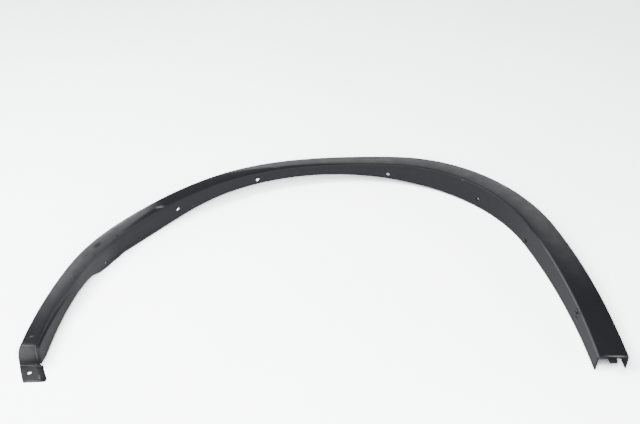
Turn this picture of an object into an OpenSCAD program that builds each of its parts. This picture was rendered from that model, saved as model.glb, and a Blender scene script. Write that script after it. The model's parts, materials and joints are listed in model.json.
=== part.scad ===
// Wheel arch moulding, lying face up.
// One thin shell follows the arch line: a flange towards the wheel, a face, and an outer skirt.
// X runs from the foot to the tail, Y from the open side to the crown, Z up from the floor.

/* [Arch line, seven tangent arcs from foot to tail] */
// Heading of the arch line where the face starts, from +X
start_heading = 87; // [80:0.1:95]
// Radius of the foot leg
foot_leg_r = 758; // [500:1:1200]
// Turn of the foot leg
foot_leg_turn = 13.3; // [8:0.1:20]
// Radius of the foot shoulder
foot_shoulder_r = 361; // [280:1:460]
// Turn of the foot shoulder
foot_shoulder_turn = 21.8; // [16:0.1:28]
// Radius of the foot haunch
foot_haunch_r = 542; // [400:1:700]
// Turn of the foot haunch
foot_haunch_turn = 22.2; // [16:0.1:28]
// Radius of the crown
crown_r = 490; // [400:1:600]
// Turn of the crown
crown_turn = 34.1; // [28:0.1:40]
// Radius of the tail haunch
tail_haunch_r = 374; // [300:1:460]
// Turn of the tail haunch
tail_haunch_turn = 11.1; // [8:0.1:16]
// Radius of the tail shoulder
tail_shoulder_r = 277; // [230:1:340]
// Turn of the tail shoulder
tail_shoulder_turn = 58.5; // [50:0.1:66]
// Radius of the tail leg
tail_leg_r = 1238; // [900:1:1800]
// Turn of the tail leg
tail_leg_turn = 14.3; // [10:0.1:18]

/* [Height of the face above the floor] */
// At the foot
face_z_foot = 40.3; // [34:0.1:48]
// Where the foot leg ends
face_z_foot_leg = 48.6; // [40:0.1:56]
// Where the foot shoulder ends
face_z_foot_shoulder = 44.6; // [38:0.1:54]
// Where the foot haunch ends
face_z_foot_haunch = 47.9; // [38:0.1:56]
// Where the crown ends
face_z_crown = 43.7; // [38:0.1:54]
// Where the tail haunch ends
face_z_tail_haunch = 47.5; // [38:0.1:54]
// Where the tail shoulder ends
face_z_tail_shoulder = 44.7; // [38:0.1:52]
// At the tail
face_z_tail = 29; // [26:0.1:36]

/* [Depth of the wheel side flange] */
// At the foot
flange_d_foot = 38; // [30:0.1:40]
// Where the foot leg ends
flange_d_foot_leg = 34.4; // [28:0.1:40]
// Where the foot shoulder ends
flange_d_foot_shoulder = 44.6; // [30:0.1:44.6]
// Where the foot haunch ends
flange_d_foot_haunch = 27; // [22:0.1:36]
// Where the crown ends
flange_d_crown = 27.9; // [22:0.1:36]
// Where the tail haunch ends
flange_d_tail_haunch = 38.2; // [30:0.1:44]
// Where the tail shoulder ends
flange_d_tail_shoulder = 44.9; // [30:0.1:45]
// At the tail
flange_d_tail = 27.7; // [18:0.1:28]

/* [Width of the face] */
// At the foot
face_w_foot = 29.5; // [26:0.1:36]
// Where the foot leg ends
face_w_foot_leg = 27.5; // [26:0.1:40]
// Where the foot shoulder ends
face_w_foot_shoulder = 31.6; // [27:0.1:42]
// Where the foot haunch ends
face_w_foot_haunch = 37.6; // [30:0.1:46]
// Where the crown ends
face_w_crown = 40.5; // [32:0.1:50]
// Where the tail haunch ends
face_w_tail_haunch = 42.9; // [34:0.1:54]
// Where the tail shoulder ends
face_w_tail_shoulder = 48.8; // [38:0.1:58]
// At the tail
face_w_tail = 48.9; // [38:0.1:58]

/* [Shell] */
// Thickness of the moulded wall
wall = 2.8; // [2:0.1:3.4]
// Fall of the face to its outer edge at the crown
face_fall = 6; // [2:0.1:9]
// Rounding of the outer edge
edge_r = 5; // [3:0.1:6]
// Rounding between face and flange
crease_r = 3; // [2:0.1:5]
// Extra rounding between face and flange at the foot shoulder
soft_r = 11; // [0:0.1:12]
// Extra rounding between face and flange at the tail
tail_soft_r = 3; // [0:0.1:4]
// Length over which that rounding comes in
tail_soft_len = 40; // [20:1:80]
// Width of the ledge under the face along the foot leg
ledge_w = 3.2; // [1:0.1:4]
// Drop from the face to that ledge
ledge_h = 3.4; // [2:0.1:5]
// Length of that ledge before it fades out
ledge_len = 110; // [60:1:140]
// Outward lean of the flange's lower edge
flange_lean = 0.8; // [0:0.1:2]
// Depth of the outer skirt at the foot
skirt_d_foot = 35; // [28:0.1:38]
// Depth of the outer skirt at the crown
skirt_d_crown = 14; // [12:0.1:20]
// Depth of the outer skirt at the tail
skirt_d_tail = 25.6; // [14:0.1:26]
// Lean of the outer skirt at the foot
skirt_lean_foot = 6.2; // [1:0.1:8]
// Lean of the outer skirt at the tail
skirt_lean_tail = -0.4; // [-1:0.1:3]

/* [Foot with its screw tab] */
// Height of the tab's upper side
tab_z = 4.5; // [4.5:0.1:7]
// Reach of the tab from the start of the face
tab_reach = 38.6; // [34:0.1:48]
// Width of the tab
tab_w = 28.8; // [24:0.1:32]
// Turn of the tab towards the wheel
tab_turn = 27; // [10:0.5:32]
// Turn of the tab's front edge
front_turn = 5; // [0:0.5:10]
// Bend between face and foot wall
foot_bend_r = 5; // [4:0.1:7]
// Draft of the foot wall
foot_draft = 1.4; // [1:0.1:2]
// Fillet between foot wall and tab
foot_fillet_r = 4.8; // [4:0.1:8]
// Outward step of the foot wall on its way down
foot_kick = 5.2; // [0:0.1:6]
// Extra width of the foot wall at its middle
foot_swell = 1; // [0:0.1:3]
// Rounding between the tab and its lip
lip_r = 2; // [1:0.1:2]
// Lean of the lip along the tab
lip_lean = 8.8; // [2:0.1:10]
// Outward lean of the tab's other side
tab_lean = 0.3; // [0:0.1:1]
// Share of the tab's length over which the lip's front corner is rounded
lip_round = 0.3; // [0.1:0.01:0.5]
// Height of the notch between the flange and the lip
notch_z = 9; // [4:0.1:10]
// Height that the flange's corner is cut back at the foot
corner_cut_h = 4.5; // [0:0.1:8]
// Length of that cut
corner_cut_len = 14; // [10:1:40]
// Diameter of the screw hole
screw_d = 7.5; // [5:0.1:9]
// Diameter of the dimple round it
dimple_d = 13; // [11:0.1:15]
// Depth of the dimple
dimple_depth = 0.8; // [0.4:0.1:1.2]
// Screw hole from the start of the face
screw_q = 21.5; // [18:0.1:26]
// Screw hole out from the middle of the tab
screw_out = 1.2; // [-3:0.1:3]

/* [Clip holes in the flange] */
// Diameter of the clip holes
clip_d = 7; // [5:0.1:8]
// Place of the ear hole along the arch line
ear_hole_s = 239.5; // [225:0.5:255]
// Its depth below the face
ear_hole_z = 36.4; // [28:0.1:38]
// Place of the foot haunch hole
haunch_hole_s = 415.5; // [395:0.5:440]
// Its depth below the face
haunch_hole_z = 19.8; // [12:0.1:24]
// Place of the first crown hole
crown_hole_a_s = 584; // [560:0.5:610]
// Its depth below the face
crown_hole_a_z = 15.4; // [10:0.1:18]
// Place of the second crown hole
crown_hole_b_s = 842; // [820:0.5:860]
// Its depth below the face
crown_hole_b_z = 22.4; // [12:0.1:26]
// Place of the tail shoulder hole
shoulder_hole_s = 1028.5; // [1005:0.5:1050]
// Its depth below the face
shoulder_hole_z = 29.3; // [16:0.1:36]
// Place of the tail leg hole
leg_hole_s = 1167.5; // [1145:0.5:1190]
// Its depth below the face
leg_hole_z = 33.6; // [18:0.1:38]

/* [Ear round the foot shoulder hole] */
// Extra depth of the flange at the ear
ear_h = 7.5; // [3:0.1:8]
// Length of the ear along the flange
ear_len = 94; // [60:1:100]
// Middle of the ear, on from the hole
ear_on = 1.5; // [-4:0.1:8]

/* [Boss and windows near the tail] */
// Place of the boss, back from the tail
boss_back = 105.2; // [95:0.1:130]
// Depth of the boss below the face
boss_z = 9.6; // [9:0.1:15]
// Diameter of the boss
boss_d = 9; // [7:0.1:11]
// Height of the boss over the flange
boss_h = 1.6; // [1:0.1:2.5]
// Diameter of the hole in the boss
boss_bore_d = 4.2; // [3:0.1:5]
// Slot in the crease, on from the boss
slot_on = 8.4; // [8:0.1:16]
// Length of that slot
slot_len = 15; // [10:0.1:18]
// Height of that slot
slot_h = 3.2; // [2:0.1:3.4]
// Depth of its upper side below the face
slot_drop = 1; // [0.8:0.1:2]
// Window below the slot, on from the boss
window_on = 8.2; // [7:0.1:16]
// Length of that window
window_len = 11; // [8:0.1:14]
// Height of that window
window_h = 4.6; // [3:0.1:6]
// Drop of the window below the boss
window_drop = 1; // [0.5:0.1:3]

/* [Tongue at the tail] */
// Width of the tongue
tongue_w = 12; // [8:0.1:16]
// Reach of the tongue past the tail
tongue_reach = 5.5; // [3:0.1:9]
// Thickness of the tongue
tongue_t = 4.4; // [2.5:0.1:5]
// Drop of the tongue below the face
tongue_drop = 5.4; // [4:0.1:8]
// Middle of the tongue, out from the flange
tongue_u = 24.4; // [18:0.1:28]
// Length of the tongue's root under the face
tongue_root = 12; // [6:0.5:20]
// Depth of the end rib under the face
end_rib_h = 2.7; // [1.5:0.1:5]

/* [Hidden side, ribs and clip seats] */
// Spacing of the cross ribs
rib_pitch = 62; // [45:1:90]
// Thickness of a rib
rib_t = 1.8; // [1.2:0.1:2.4]
// Depth of a rib at its middle
rib_h = 6; // [4:0.1:8]
// Length of a clip seat along the arch
seat_len = 16; // [12:0.1:20]
// Width of a clip seat
seat_w = 12; // [10:0.1:13]
// Depth of a clip seat under the face
seat_h = 9; // [6:0.1:10]
// Wall of a clip seat
seat_wall = 2; // [1.4:0.1:2.4]
// Width of the slot that takes the clip's neck
seat_slot = 5; // [4:0.1:6]

/* [Hidden] */
$fn = 48;

// Spacing of the shell's rings along the arch line
RING_PITCH = 17;
// Rings across the ear
EAR_RINGS = 14;
// Steps of a rounded corner in the section
ROUND_STEPS = 4;
// Steps of a bend in the foot
BEND_STEPS = 3;
// Points across the face between its rounded sides
FACE_STEPS = 3;
// Least gap between the crease's rounding and the ledge under it
STEP_GAP = 0.8;
// Least rounding of the inner skin
LEAST_R = 0.5;
// Height of the lip's edge at its rounded corner, as a share of the room under the tab
LIP_END = 0.5;
// Width and drop of the small step beside the tab
TAB_STEP = [1.2, 1];
// Depth that ribs, seats and the tongue reach into the wall they stand on
SINK = wall / 2;
// Reach of a cutter past the flange on the wheel side and inside the channel
CUT_OUT = 6;
CUT_IN = 3;

ARCS = [
    [foot_leg_r, foot_leg_turn],
    [foot_shoulder_r, foot_shoulder_turn],
    [foot_haunch_r, foot_haunch_turn],
    [crown_r, crown_turn],
    [tail_haunch_r, tail_haunch_turn],
    [tail_shoulder_r, tail_shoulder_turn],
    [tail_leg_r, tail_leg_turn]
];

// Stations: the joints of the arcs, as lengths along the arch line
function arc_len(arc) = arc[0] * arc[1] * PI / 180;
AT = [for (i = 0, s = 0; i <= len(ARCS); s = s + (i < len(ARCS) ? arc_len(ARCS[i]) : 0), i = i + 1) s];
ARCH_LEN = AT[len(ARCS)];

// Frame [x, y, heading] after a clockwise turn from frame f on radius r
function turned(f, r, turn) = [
    f[0] + r * (sin(f[2]) - sin(f[2] - turn)),
    f[1] + r * (cos(f[2] - turn) - cos(f[2])),
    f[2] - turn
];
function joint_frames(f, i = 0) =
    i == len(ARCS) ? [f] : concat([f], joint_frames(turned(f, ARCS[i][0], ARCS[i][1]), i + 1));
JOINTS = joint_frames([0, 0, start_heading]);

// Index of the span of stations that holds length s
function span_of(s, i = 0) = (i >= len(AT) - 2 || s < AT[i + 1]) ? i : span_of(s, i + 1);
function frame_at(s) =
    let (i = span_of(s), r = ARCS[i][0])
    turned(JOINTS[i], r, (s - AT[i]) / r * 180 / PI);

// Value at length s of a size that is given at the stations, as one smooth curve
function slope(v, i) =
    let (last = len(AT) - 1)
    i == 0 ? (v[1] - v[0]) / (AT[1] - AT[0]) :
    i == last ? (v[last] - v[last - 1]) / (AT[last] - AT[last - 1]) :
    let (a = AT[i] - AT[i - 1], b = AT[i + 1] - AT[i])
    (b * (v[i] - v[i - 1]) / a + a * (v[i + 1] - v[i]) / b) / (a + b);
function along(v, s) =
    let (i = span_of(s), h = AT[i + 1] - AT[i], t = (s - AT[i]) / h)
    (2 * t * t * t - 3 * t * t + 1) * v[i] + (t * t * t - 2 * t * t + t) * h * slope(v, i)
    + (3 * t * t - 2 * t * t * t) * v[i + 1] + (t * t * t - t * t) * h * slope(v, i + 1);

FACE_Z = [face_z_foot, face_z_foot_leg, face_z_foot_shoulder, face_z_foot_haunch,
    face_z_crown, face_z_tail_haunch, face_z_tail_shoulder, face_z_tail];
FLANGE_D = [flange_d_foot, flange_d_foot_leg, flange_d_foot_shoulder, flange_d_foot_haunch,
    flange_d_crown, flange_d_tail_haunch, flange_d_tail_shoulder, flange_d_tail];
FACE_W = [face_w_foot, face_w_foot_leg, face_w_foot_shoulder, face_w_foot_haunch,
    face_w_crown, face_w_tail_haunch, face_w_tail_shoulder, face_w_tail];

// Smooth step from 0 at a to 1 at b
function ease(s, a, b) = let (t = min(1, max(0, (s - a) / (b - a)))) t * t * (3 - 2 * t);
// Smooth rise and fall round a place, 1 there and 0 at half the length to each side
function bump(s, mid, length) = 1 - ease(abs(s - mid), length / 6, length / 2);

function face_z(s) = along(FACE_Z, s);
function face_w(s) = along(FACE_W, s);
EAR_S = ear_hole_s + ear_on;
// The flange never reaches below the floor
function flange_d(s) = min(
    face_z(s),
    along(FLANGE_D, s) + ear_h * bump(s, EAR_S, ear_len)
    - corner_cut_h * (1 - min(1, s / corner_cut_len))
);
function fall(s) = face_fall * pow(sin(180 * s / ARCH_LEN), 0.8);
function ledge(s) = ledge_w * (1 - ease(s, ledge_len * 0.6, ledge_len * 1.4));
function inner_r(s) =
    crease_r + soft_r * bump(s, (AT[1] + AT[2]) / 2, AT[3])
    + tail_soft_r * ease(s, ARCH_LEN - tail_soft_len, ARCH_LEN);
function skirt_d(s) =
    s < AT[3] ? skirt_d_foot + (skirt_d_crown - skirt_d_foot) * ease(s, 0, AT[3])
    : skirt_d_crown + (skirt_d_tail - skirt_d_crown) * ease(s, AT[4], AT[6]);
function skirt_lean(s) = skirt_lean_foot + (skirt_lean_tail - skirt_lean_foot) * ease(s, 0, AT[2]);

// Rounded corner between points a and b with its sharp corner at c
function rounded(a, c, b) = [
    for (i = [0 : ROUND_STEPS])
    let (t = i / ROUND_STEPS)
    (1 - t) * (1 - t) * a + 2 * t * (1 - t) * c + t * t * b
];

// One skin of the section, as [outward, height] points from the flange's lower edge over the
// face to the skirt's lower edge. The inner skin stands one wall inside the outer one.
// z: height of this skin's face, low and lean: heights and leans of flange edge and skirt edge,
// step: width and drop of the ledge, w: width of the face, fall: its fall, r: crease rounding
function skin(inset, z, low, lean, step, w, fall, r) =
    let (
        deep = z - low[0],
        reach = min(max(step[1], r + STEP_GAP), deep / 2),
        ri = min(max(r - inset / 2, LEAST_R), reach * 0.8),
        crease = step[0] + inset,
        edge = w - inset,
        edge_z = z - fall,
        ro = min(edge_r - inset / 2, (edge_z - low[1]) * 0.6),
        face = function (u) z - fall * pow((u - crease) / (edge - crease), 2),
        a = crease + ri,
        b = edge - ro
    )
    concat(
        [
            [inset - lean[0], low[0]],
            [inset, z - reach - min(step[1] / 3, deep / 5)],
            [crease, z - reach]
        ],
        rounded([crease, z - ri], [crease, z], [a, face(a)]),
        [for (i = [1 : FACE_STEPS]) let (u = a + (b - a) * i / (FACE_STEPS + 1)) [u, face(u)]],
        rounded([b, face(b)], [edge, edge_z], [edge + lean[1] * 0.1, edge_z - ro]),
        [[edge + lean[1], low[1]]]
    );

// A section point [outward, height] set on a frame
function set_on(f, p) = [f[0] - p[0] * sin(f[2]), f[1] + p[0] * cos(f[2]), p[1]];
// One ring of the shell: outer skin on one frame, inner skin back on another
function ring(f_out, out, f_in, inn) = concat(
    [for (p = out) set_on(f_out, p)],
    [for (i = [len(inn) - 1 : -1 : 0]) set_on(f_in, inn[i])]
);

function channel_low(s) = [face_z(s) - flange_d(s), face_z(s) - fall(s) - skirt_d(s)];
function channel_skin(s, inset) = skin(
    inset, face_z(s) - inset, channel_low(s), [flange_lean, skirt_lean(s)],
    [ledge(s), ledge_h], face_w(s), fall(s), inner_r(s)
);
function channel_ring(s) =
    let (f = frame_at(s))
    ring(f, channel_skin(s, 0), f, channel_skin(s, wall));

// Stations of the rings, closer together across the ear
function spread(a, b, n) = [for (i = [0 : n - 1]) a + (b - a) * i / n];
EAR_A = EAR_S - ear_len / 2;
EAR_B = EAR_S + ear_len / 2;
RINGS = concat(
    spread(0, EAR_A, ceil(EAR_A / RING_PITCH)),
    spread(EAR_A, EAR_B, EAR_RINGS),
    spread(EAR_B, ARCH_LEN, ceil((ARCH_LEN - EAR_B) / RING_PITCH)),
    [ARCH_LEN]
);

// The foot: the shell bends down to a wall, and out again to the tab.
// q runs forwards from the start of the face, against the heading of the arch line
FILLET_Z = tab_z + foot_fillet_r;
TAB_Q = foot_bend_r + foot_draft + foot_fillet_r;
function bend_at(a, off) = [
    (foot_bend_r - off) * sin(a),
    face_z_foot - foot_bend_r + (foot_bend_r - off) * cos(a)
];
function fillet_at(a, off) = [
    TAB_Q - (foot_fillet_r + off) * cos(a),
    FILLET_Z - (foot_fillet_r + off) * sin(a)
];
function tab_at(k, off) = [TAB_Q + (tab_reach - TAB_Q) * k, tab_z - off];
// Places of the tab's rings as shares of its length, closer together at the rounded corner
TAB_SHARES = [1, 1 - lip_round * 0.13, 1 - lip_round * 0.4, 1 - lip_round, (1 - lip_round) / 2];
function foot_line(off) = concat(
    [for (k = TAB_SHARES) tab_at(k, off)],
    [for (i = [BEND_STEPS : -1 : 0]) fillet_at(90 * i / BEND_STEPS, off)],
    [for (k = [0.33, 0.67]) mix(fillet_at(0, off), bend_at(90, off), k)],
    [for (i = [BEND_STEPS : -1 : 1]) bend_at(90 * i / BEND_STEPS, off)]
);
FOOT_OUT = foot_line(0);
FOOT_IN = foot_line(wall);
function foot_frame(q) = [
    -q * cos(start_heading), -q * sin(start_heading),
    start_heading + front_turn * max(0, (q - TAB_Q) / (tab_reach - TAB_Q))
];
// Outward place of the foot's wheel side, which steps out fastest under the face
function foot_side(q, k) =
    foot_kick * k * (2 - k) - tan(tab_turn) * max(0, q - TAB_Q + foot_fillet_r / 3);
function shifted(points, du) = [for (p = points) [p[0] + du, p[1]]];
function mix(a, b, k) = a + (b - a) * k;
// Height of the lip as a share, 1 along the tab and rounded down to 0 at its front corner
function lip_share(q) =
    let (t = (q - TAB_Q) / (tab_reach - TAB_Q), c = max(0, (t - 1 + lip_round) / lip_round))
    sqrt(max(0.02, 1 - c * c));
// One skin of the foot at height p[1] on the line of the bend, k from 0 at the face to 1 at the tab
function foot_skin(p, q, k, inset) =
    let (
        lip = lip_share(q),
        low = k < 0.99 ? mix(notch_z, 0, ease(k, 0.5, 0.95)) : (tab_z - wall) * (1 - lip) * LIP_END
    )
    shifted(
        skin(
            inset, p[1],
            [mix(channel_low(0)[0], low, ease(k, 0, 0.3)), mix(channel_low(0)[1], 0, k)],
            [
                mix(flange_lean, lip_lean * lip, ease(k, 0.6, 1)),
                mix(skirt_lean_foot, tab_lean, ease(k, 0, 0.4))
            ],
            mix([ledge_w, ledge_h], TAB_STEP, k),
            mix(face_w_foot, tab_w, k) + foot_swell * sin(180 * k), 0, mix(inner_r(0), lip_r, k)
        ),
        foot_side(q, k)
    );
function foot_ring(i) =
    let (
        out = FOOT_OUT[i],
        inn = FOOT_IN[i],
        k = (face_z_foot - out[1]) / (face_z_foot - tab_z)
    )
    ring(
        foot_frame(out[0]), foot_skin(out, out[0], k, 0),
        foot_frame(inn[0]), foot_skin(inn, out[0], k, wall)
    );

ALL_RINGS = concat(
    [for (i = [0 : len(FOOT_OUT) - 1]) foot_ring(i)],
    [for (s = RINGS) channel_ring(s)]
);

// The box of the shell, whose bottom centre is the origin
POINTS = [for (r = ALL_RINGS) each r];
XS = [for (p = POINTS) p[0]];
YS = [for (p = POINTS) p[1]];
ZS = [for (p = POINTS) p[2]];
HOME = [-(min(XS) + max(XS)) / 2, -(min(YS) + max(YS)) / 2, -min(ZS)];

// Faces between two rings, and the two cut ends
N = len(ALL_RINGS[0]);
HALF = N / 2;
SIDE_FACES = [
    for (i = [0 : len(ALL_RINGS) - 2], j = [0 : N - 1])
    let (a = i * N + j, b = i * N + (j + 1) % N)
    each [[a, b, b + N], [a, b + N, a + N]]
];
function end_faces(start, flip) = [
    for (j = [0 : HALF - 2])
    let (a = start + j, b = start + j + 1, c = start + N - 2 - j, d = start + N - 1 - j)
    each flip ? [[a, d, c], [a, c, b]] : [[a, b, c], [a, c, d]]
];

module shell_body() {
    polyhedron(
        POINTS,
        concat(SIDE_FACES, end_faces(0, true), end_faces((len(ALL_RINGS) - 1) * N, false)),
        convexity = 12
    );
}

// Clip holes as [length along the arch line, depth below the face, diameter]
CLIP_HOLES = [
    [ear_hole_s, ear_hole_z, clip_d],
    [haunch_hole_s, haunch_hole_z, clip_d],
    [crown_hole_a_s, crown_hole_a_z, clip_d],
    [crown_hole_b_s, crown_hole_b_z, clip_d],
    [shoulder_hole_s, shoulder_hole_z, clip_d],
    [leg_hole_s, leg_hole_z, clip_d]
];
BOSS_S = ARCH_LEN - boss_back;
HOLE_PLACES = concat([for (h = CLIP_HOLES) h[0]], [BOSS_S]);
// Clip seats stand midway between neighbouring holes
SEATS = [for (i = [0 : len(HOLE_PLACES) - 2]) (HOLE_PLACES[i] + HOLE_PLACES[i + 1]) / 2];
// Ribs keep clear of holes and seats
RIB_CLEAR = seat_len / 2 + rib_t + 5;
RIB_FIRST = rib_pitch / 2;
RIBS = [
    for (s = [RIB_FIRST : rib_pitch : ARCH_LEN - RIB_FIRST / 2])
    if (min([for (h = concat(HOLE_PLACES, SEATS)) abs(s - h)]) > RIB_CLEAR) s
];

// Places its children at length s: their X runs outward, their Y up, their Z along the arch
module on_arch(s) {
    f = frame_at(s);
    translate([f[0], f[1], 0]) rotate([0, 0, f[2] + 90]) rotate([90, 0, 0]) children();
}

// A hole through the flange, square to it
module flange_hole(s, below, d) {
    on_arch(s) translate([-CUT_OUT, face_z(s) - below, 0]) rotate([0, 90, 0])
        cylinder(d = d, h = CUT_OUT + wall + CUT_IN);
}

// Points midway in the wall, from the crease to the outer edge
function mid_wall(s) =
    let (out = channel_skin(s, 0), inn = channel_skin(s, wall))
    [for (i = [2 : HALF - 2]) (out[i] + inn[i]) / 2];
// Height of the face's underside at its middle
function under_z(s) = channel_skin(s, wall)[floor(HALF / 2)][1];

// A rib across the channel, its upper side sunk in the shell
module rib(s, h) {
    mid = mid_wall(s);
    low = under_z(s) - h;
    last = mid[len(mid) - 1];
    on_arch(s) translate([0, 0, -rib_t / 2]) linear_extrude(rib_t) polygon(concat(
        [[mid[0][0], min(mid[0][1] - 2, low)]],
        mid,
        [[last[0], min(last[1] - 1, low)], [face_w(s) / 2, low]]
    ));
}

// A clip seat: a box under the face, hollow, with a slot for the clip's neck
module seat(s) {
    u = face_w(s) * 0.52;
    low = under_z(s) - seat_h;
    roof = [for (p = mid_wall(s)) if (abs(p[0] - u) < seat_w / 2) p];
    first = roof[0];
    last = roof[len(roof) - 1];
    on_arch(s) difference() {
        translate([0, 0, -seat_len / 2]) linear_extrude(seat_len) polygon(concat(
            [[u - seat_w / 2, low], [u - seat_w / 2, first[1]]],
            roof,
            [[u + seat_w / 2, last[1] - SINK / 3], [u + seat_w / 2, low]]
        ));
        translate([u - seat_w / 2 + seat_wall, low + seat_wall, -seat_len / 2 + seat_wall])
            cube([seat_w - 2 * seat_wall, seat_h - seat_wall - SINK / 2, seat_len]);
        translate([u - seat_slot / 2, low - 1, -seat_len / 2 + seat_wall + 2])
            cube([seat_slot, seat_wall + 2, seat_len]);
    }
}

// Tongue past the tail, on a root that joins it to the face
module tongue() {
    top = face_z_tail - tongue_drop;
    on_arch(ARCH_LEN) translate([tongue_u - tongue_w / 2, top - tongue_t, 0]) {
        translate([0, 0, -tongue_root]) cube([tongue_w, tongue_t, tongue_root + tongue_reach]);
        translate([0, 0, -tongue_root])
            cube([tongue_w, tongue_t + tongue_drop - SINK, tongue_root - rib_t / 2]);
    }
}

module boss() {
    on_arch(BOSS_S) translate([-boss_h - flange_lean / 2, face_z(BOSS_S) - boss_z, 0])
        rotate([0, 90, 0]) cylinder(d = boss_d, h = boss_h + wall);
}

// Slot in the crease and window below the boss, both on its tail side
module windows() {
    slot_s = BOSS_S + slot_on;
    window_s = BOSS_S + window_on;
    on_arch(slot_s) translate([-CUT_IN, face_z(slot_s) - slot_drop - slot_h, -slot_len / 2])
        cube([CUT_IN + crease_r + slot_drop / 2, slot_h, slot_len]);
    window_z = face_z(window_s) - boss_z - boss_d / 2 - window_drop - window_h;
    on_arch(window_s) translate([-CUT_IN, window_z, -window_len / 2])
        cube([wall + 2 * CUT_IN, window_h, window_len]);
}

module screw_hole() {
    f = foot_frame(screw_q);
    u = foot_side(screw_q, 1) + tab_w / 2 + screw_out;
    p = set_on(f, [u, 0]);
    translate([p[0], p[1], -1]) cylinder(d = screw_d, h = tab_z + 3);
    translate([p[0], p[1], tab_z - dimple_depth]) cylinder(d = dimple_d, h = 4);
}

// Rim that closes the tab's front edge down to the floor
module tab_rim() {
    u = foot_side(tab_reach, 1);
    f = foot_frame(tab_reach);
    translate([f[0], f[1], 0]) rotate([0, 0, f[2] - 90]) translate([-u - tab_w + tab_lean, 0, 0])
        cube([tab_w - tab_lean - wall / 2 + TAB_STEP[0], wall, tab_z - wall / 2]);
}

module moulding() {
    color("#303134")
    translate(HOME)
    difference() {
        union() {
            shell_body();
            for (s = RIBS) rib(s, rib_h);
            rib(ARCH_LEN - rib_t / 2, end_rib_h);
            for (s = SEATS) seat(s);
            tongue();
            boss();
            tab_rim();
        }
        for (h = CLIP_HOLES) flange_hole(h[0], h[1], h[2]);
        flange_hole(BOSS_S, boss_z, boss_bore_d);
        windows();
        screw_hole();
    }
}

moulding();
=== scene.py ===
"""Wheel arch moulding on a pale studio floor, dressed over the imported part.

The moulding is one thin shell that follows the arch line. Its rings of key points are worked out
from the same sizes as the part, a node tree lofts them into a surface, joins the hidden ribs and
clip seats to it and cuts its holes, and one satin plastic finish covers it. Sizes are in
millimetres until the mesh is made, and in metres after that.
"""

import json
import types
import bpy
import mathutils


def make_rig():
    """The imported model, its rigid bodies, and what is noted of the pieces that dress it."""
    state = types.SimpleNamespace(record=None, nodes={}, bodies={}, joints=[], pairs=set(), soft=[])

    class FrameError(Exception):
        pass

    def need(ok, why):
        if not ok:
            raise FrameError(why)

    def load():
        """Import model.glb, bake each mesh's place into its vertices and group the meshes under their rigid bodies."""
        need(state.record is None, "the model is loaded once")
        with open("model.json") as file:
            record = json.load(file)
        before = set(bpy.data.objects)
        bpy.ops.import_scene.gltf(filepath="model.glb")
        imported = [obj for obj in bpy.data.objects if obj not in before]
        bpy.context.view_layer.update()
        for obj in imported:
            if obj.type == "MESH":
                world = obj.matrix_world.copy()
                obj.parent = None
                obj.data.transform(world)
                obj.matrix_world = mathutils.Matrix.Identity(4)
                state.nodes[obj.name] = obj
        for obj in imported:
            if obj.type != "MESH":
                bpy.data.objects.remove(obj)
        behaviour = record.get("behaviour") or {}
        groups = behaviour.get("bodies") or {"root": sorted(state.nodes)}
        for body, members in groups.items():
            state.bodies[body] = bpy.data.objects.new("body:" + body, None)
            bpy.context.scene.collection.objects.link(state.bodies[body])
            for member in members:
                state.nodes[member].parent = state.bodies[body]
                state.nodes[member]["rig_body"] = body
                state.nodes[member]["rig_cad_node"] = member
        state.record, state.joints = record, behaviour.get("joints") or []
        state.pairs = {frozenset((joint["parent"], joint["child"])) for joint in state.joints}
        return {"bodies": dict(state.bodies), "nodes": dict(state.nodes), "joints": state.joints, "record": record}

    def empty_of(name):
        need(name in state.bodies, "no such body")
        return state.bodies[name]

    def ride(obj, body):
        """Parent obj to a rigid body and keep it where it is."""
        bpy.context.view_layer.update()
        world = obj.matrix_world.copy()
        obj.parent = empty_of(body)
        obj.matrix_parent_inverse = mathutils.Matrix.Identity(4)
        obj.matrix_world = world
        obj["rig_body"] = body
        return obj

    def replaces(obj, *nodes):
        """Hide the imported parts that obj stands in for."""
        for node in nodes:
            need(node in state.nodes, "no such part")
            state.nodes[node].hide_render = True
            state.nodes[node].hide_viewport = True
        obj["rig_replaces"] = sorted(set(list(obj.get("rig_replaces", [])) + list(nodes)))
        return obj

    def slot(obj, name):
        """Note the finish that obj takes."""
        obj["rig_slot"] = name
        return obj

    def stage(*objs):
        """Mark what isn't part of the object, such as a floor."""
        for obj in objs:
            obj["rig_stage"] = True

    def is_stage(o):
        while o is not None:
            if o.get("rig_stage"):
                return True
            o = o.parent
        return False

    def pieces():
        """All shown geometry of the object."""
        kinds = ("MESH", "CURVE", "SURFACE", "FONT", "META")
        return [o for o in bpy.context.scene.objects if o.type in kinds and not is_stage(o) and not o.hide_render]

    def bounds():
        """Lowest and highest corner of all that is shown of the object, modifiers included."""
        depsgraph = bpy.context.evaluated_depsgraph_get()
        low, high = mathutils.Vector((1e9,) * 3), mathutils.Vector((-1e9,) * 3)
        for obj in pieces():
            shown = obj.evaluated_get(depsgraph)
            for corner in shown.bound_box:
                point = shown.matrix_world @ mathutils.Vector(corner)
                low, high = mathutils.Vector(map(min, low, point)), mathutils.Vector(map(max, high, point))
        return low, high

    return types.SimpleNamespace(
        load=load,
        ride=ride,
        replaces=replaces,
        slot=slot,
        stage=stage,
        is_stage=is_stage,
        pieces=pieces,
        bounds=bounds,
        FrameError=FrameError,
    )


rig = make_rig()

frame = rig.load()

import json
import logging
import math
from dataclasses import dataclass, field
from enum import Enum

import bmesh
import bpy
from mathutils import Matrix, Vector
from mathutils.kdtree import KDTree

CAD_BOX = [list(corner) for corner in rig.bounds()]
LOG = logging.getLogger("moulding")
MM = 0.001
ROD_SIDES = 48
ACROSS = Matrix.Rotation(math.pi / 2, 4, "Y")  # turns an upright rod outward
FLAT = 0.99  # share of the way down the foot beyond which it is the tab

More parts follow.
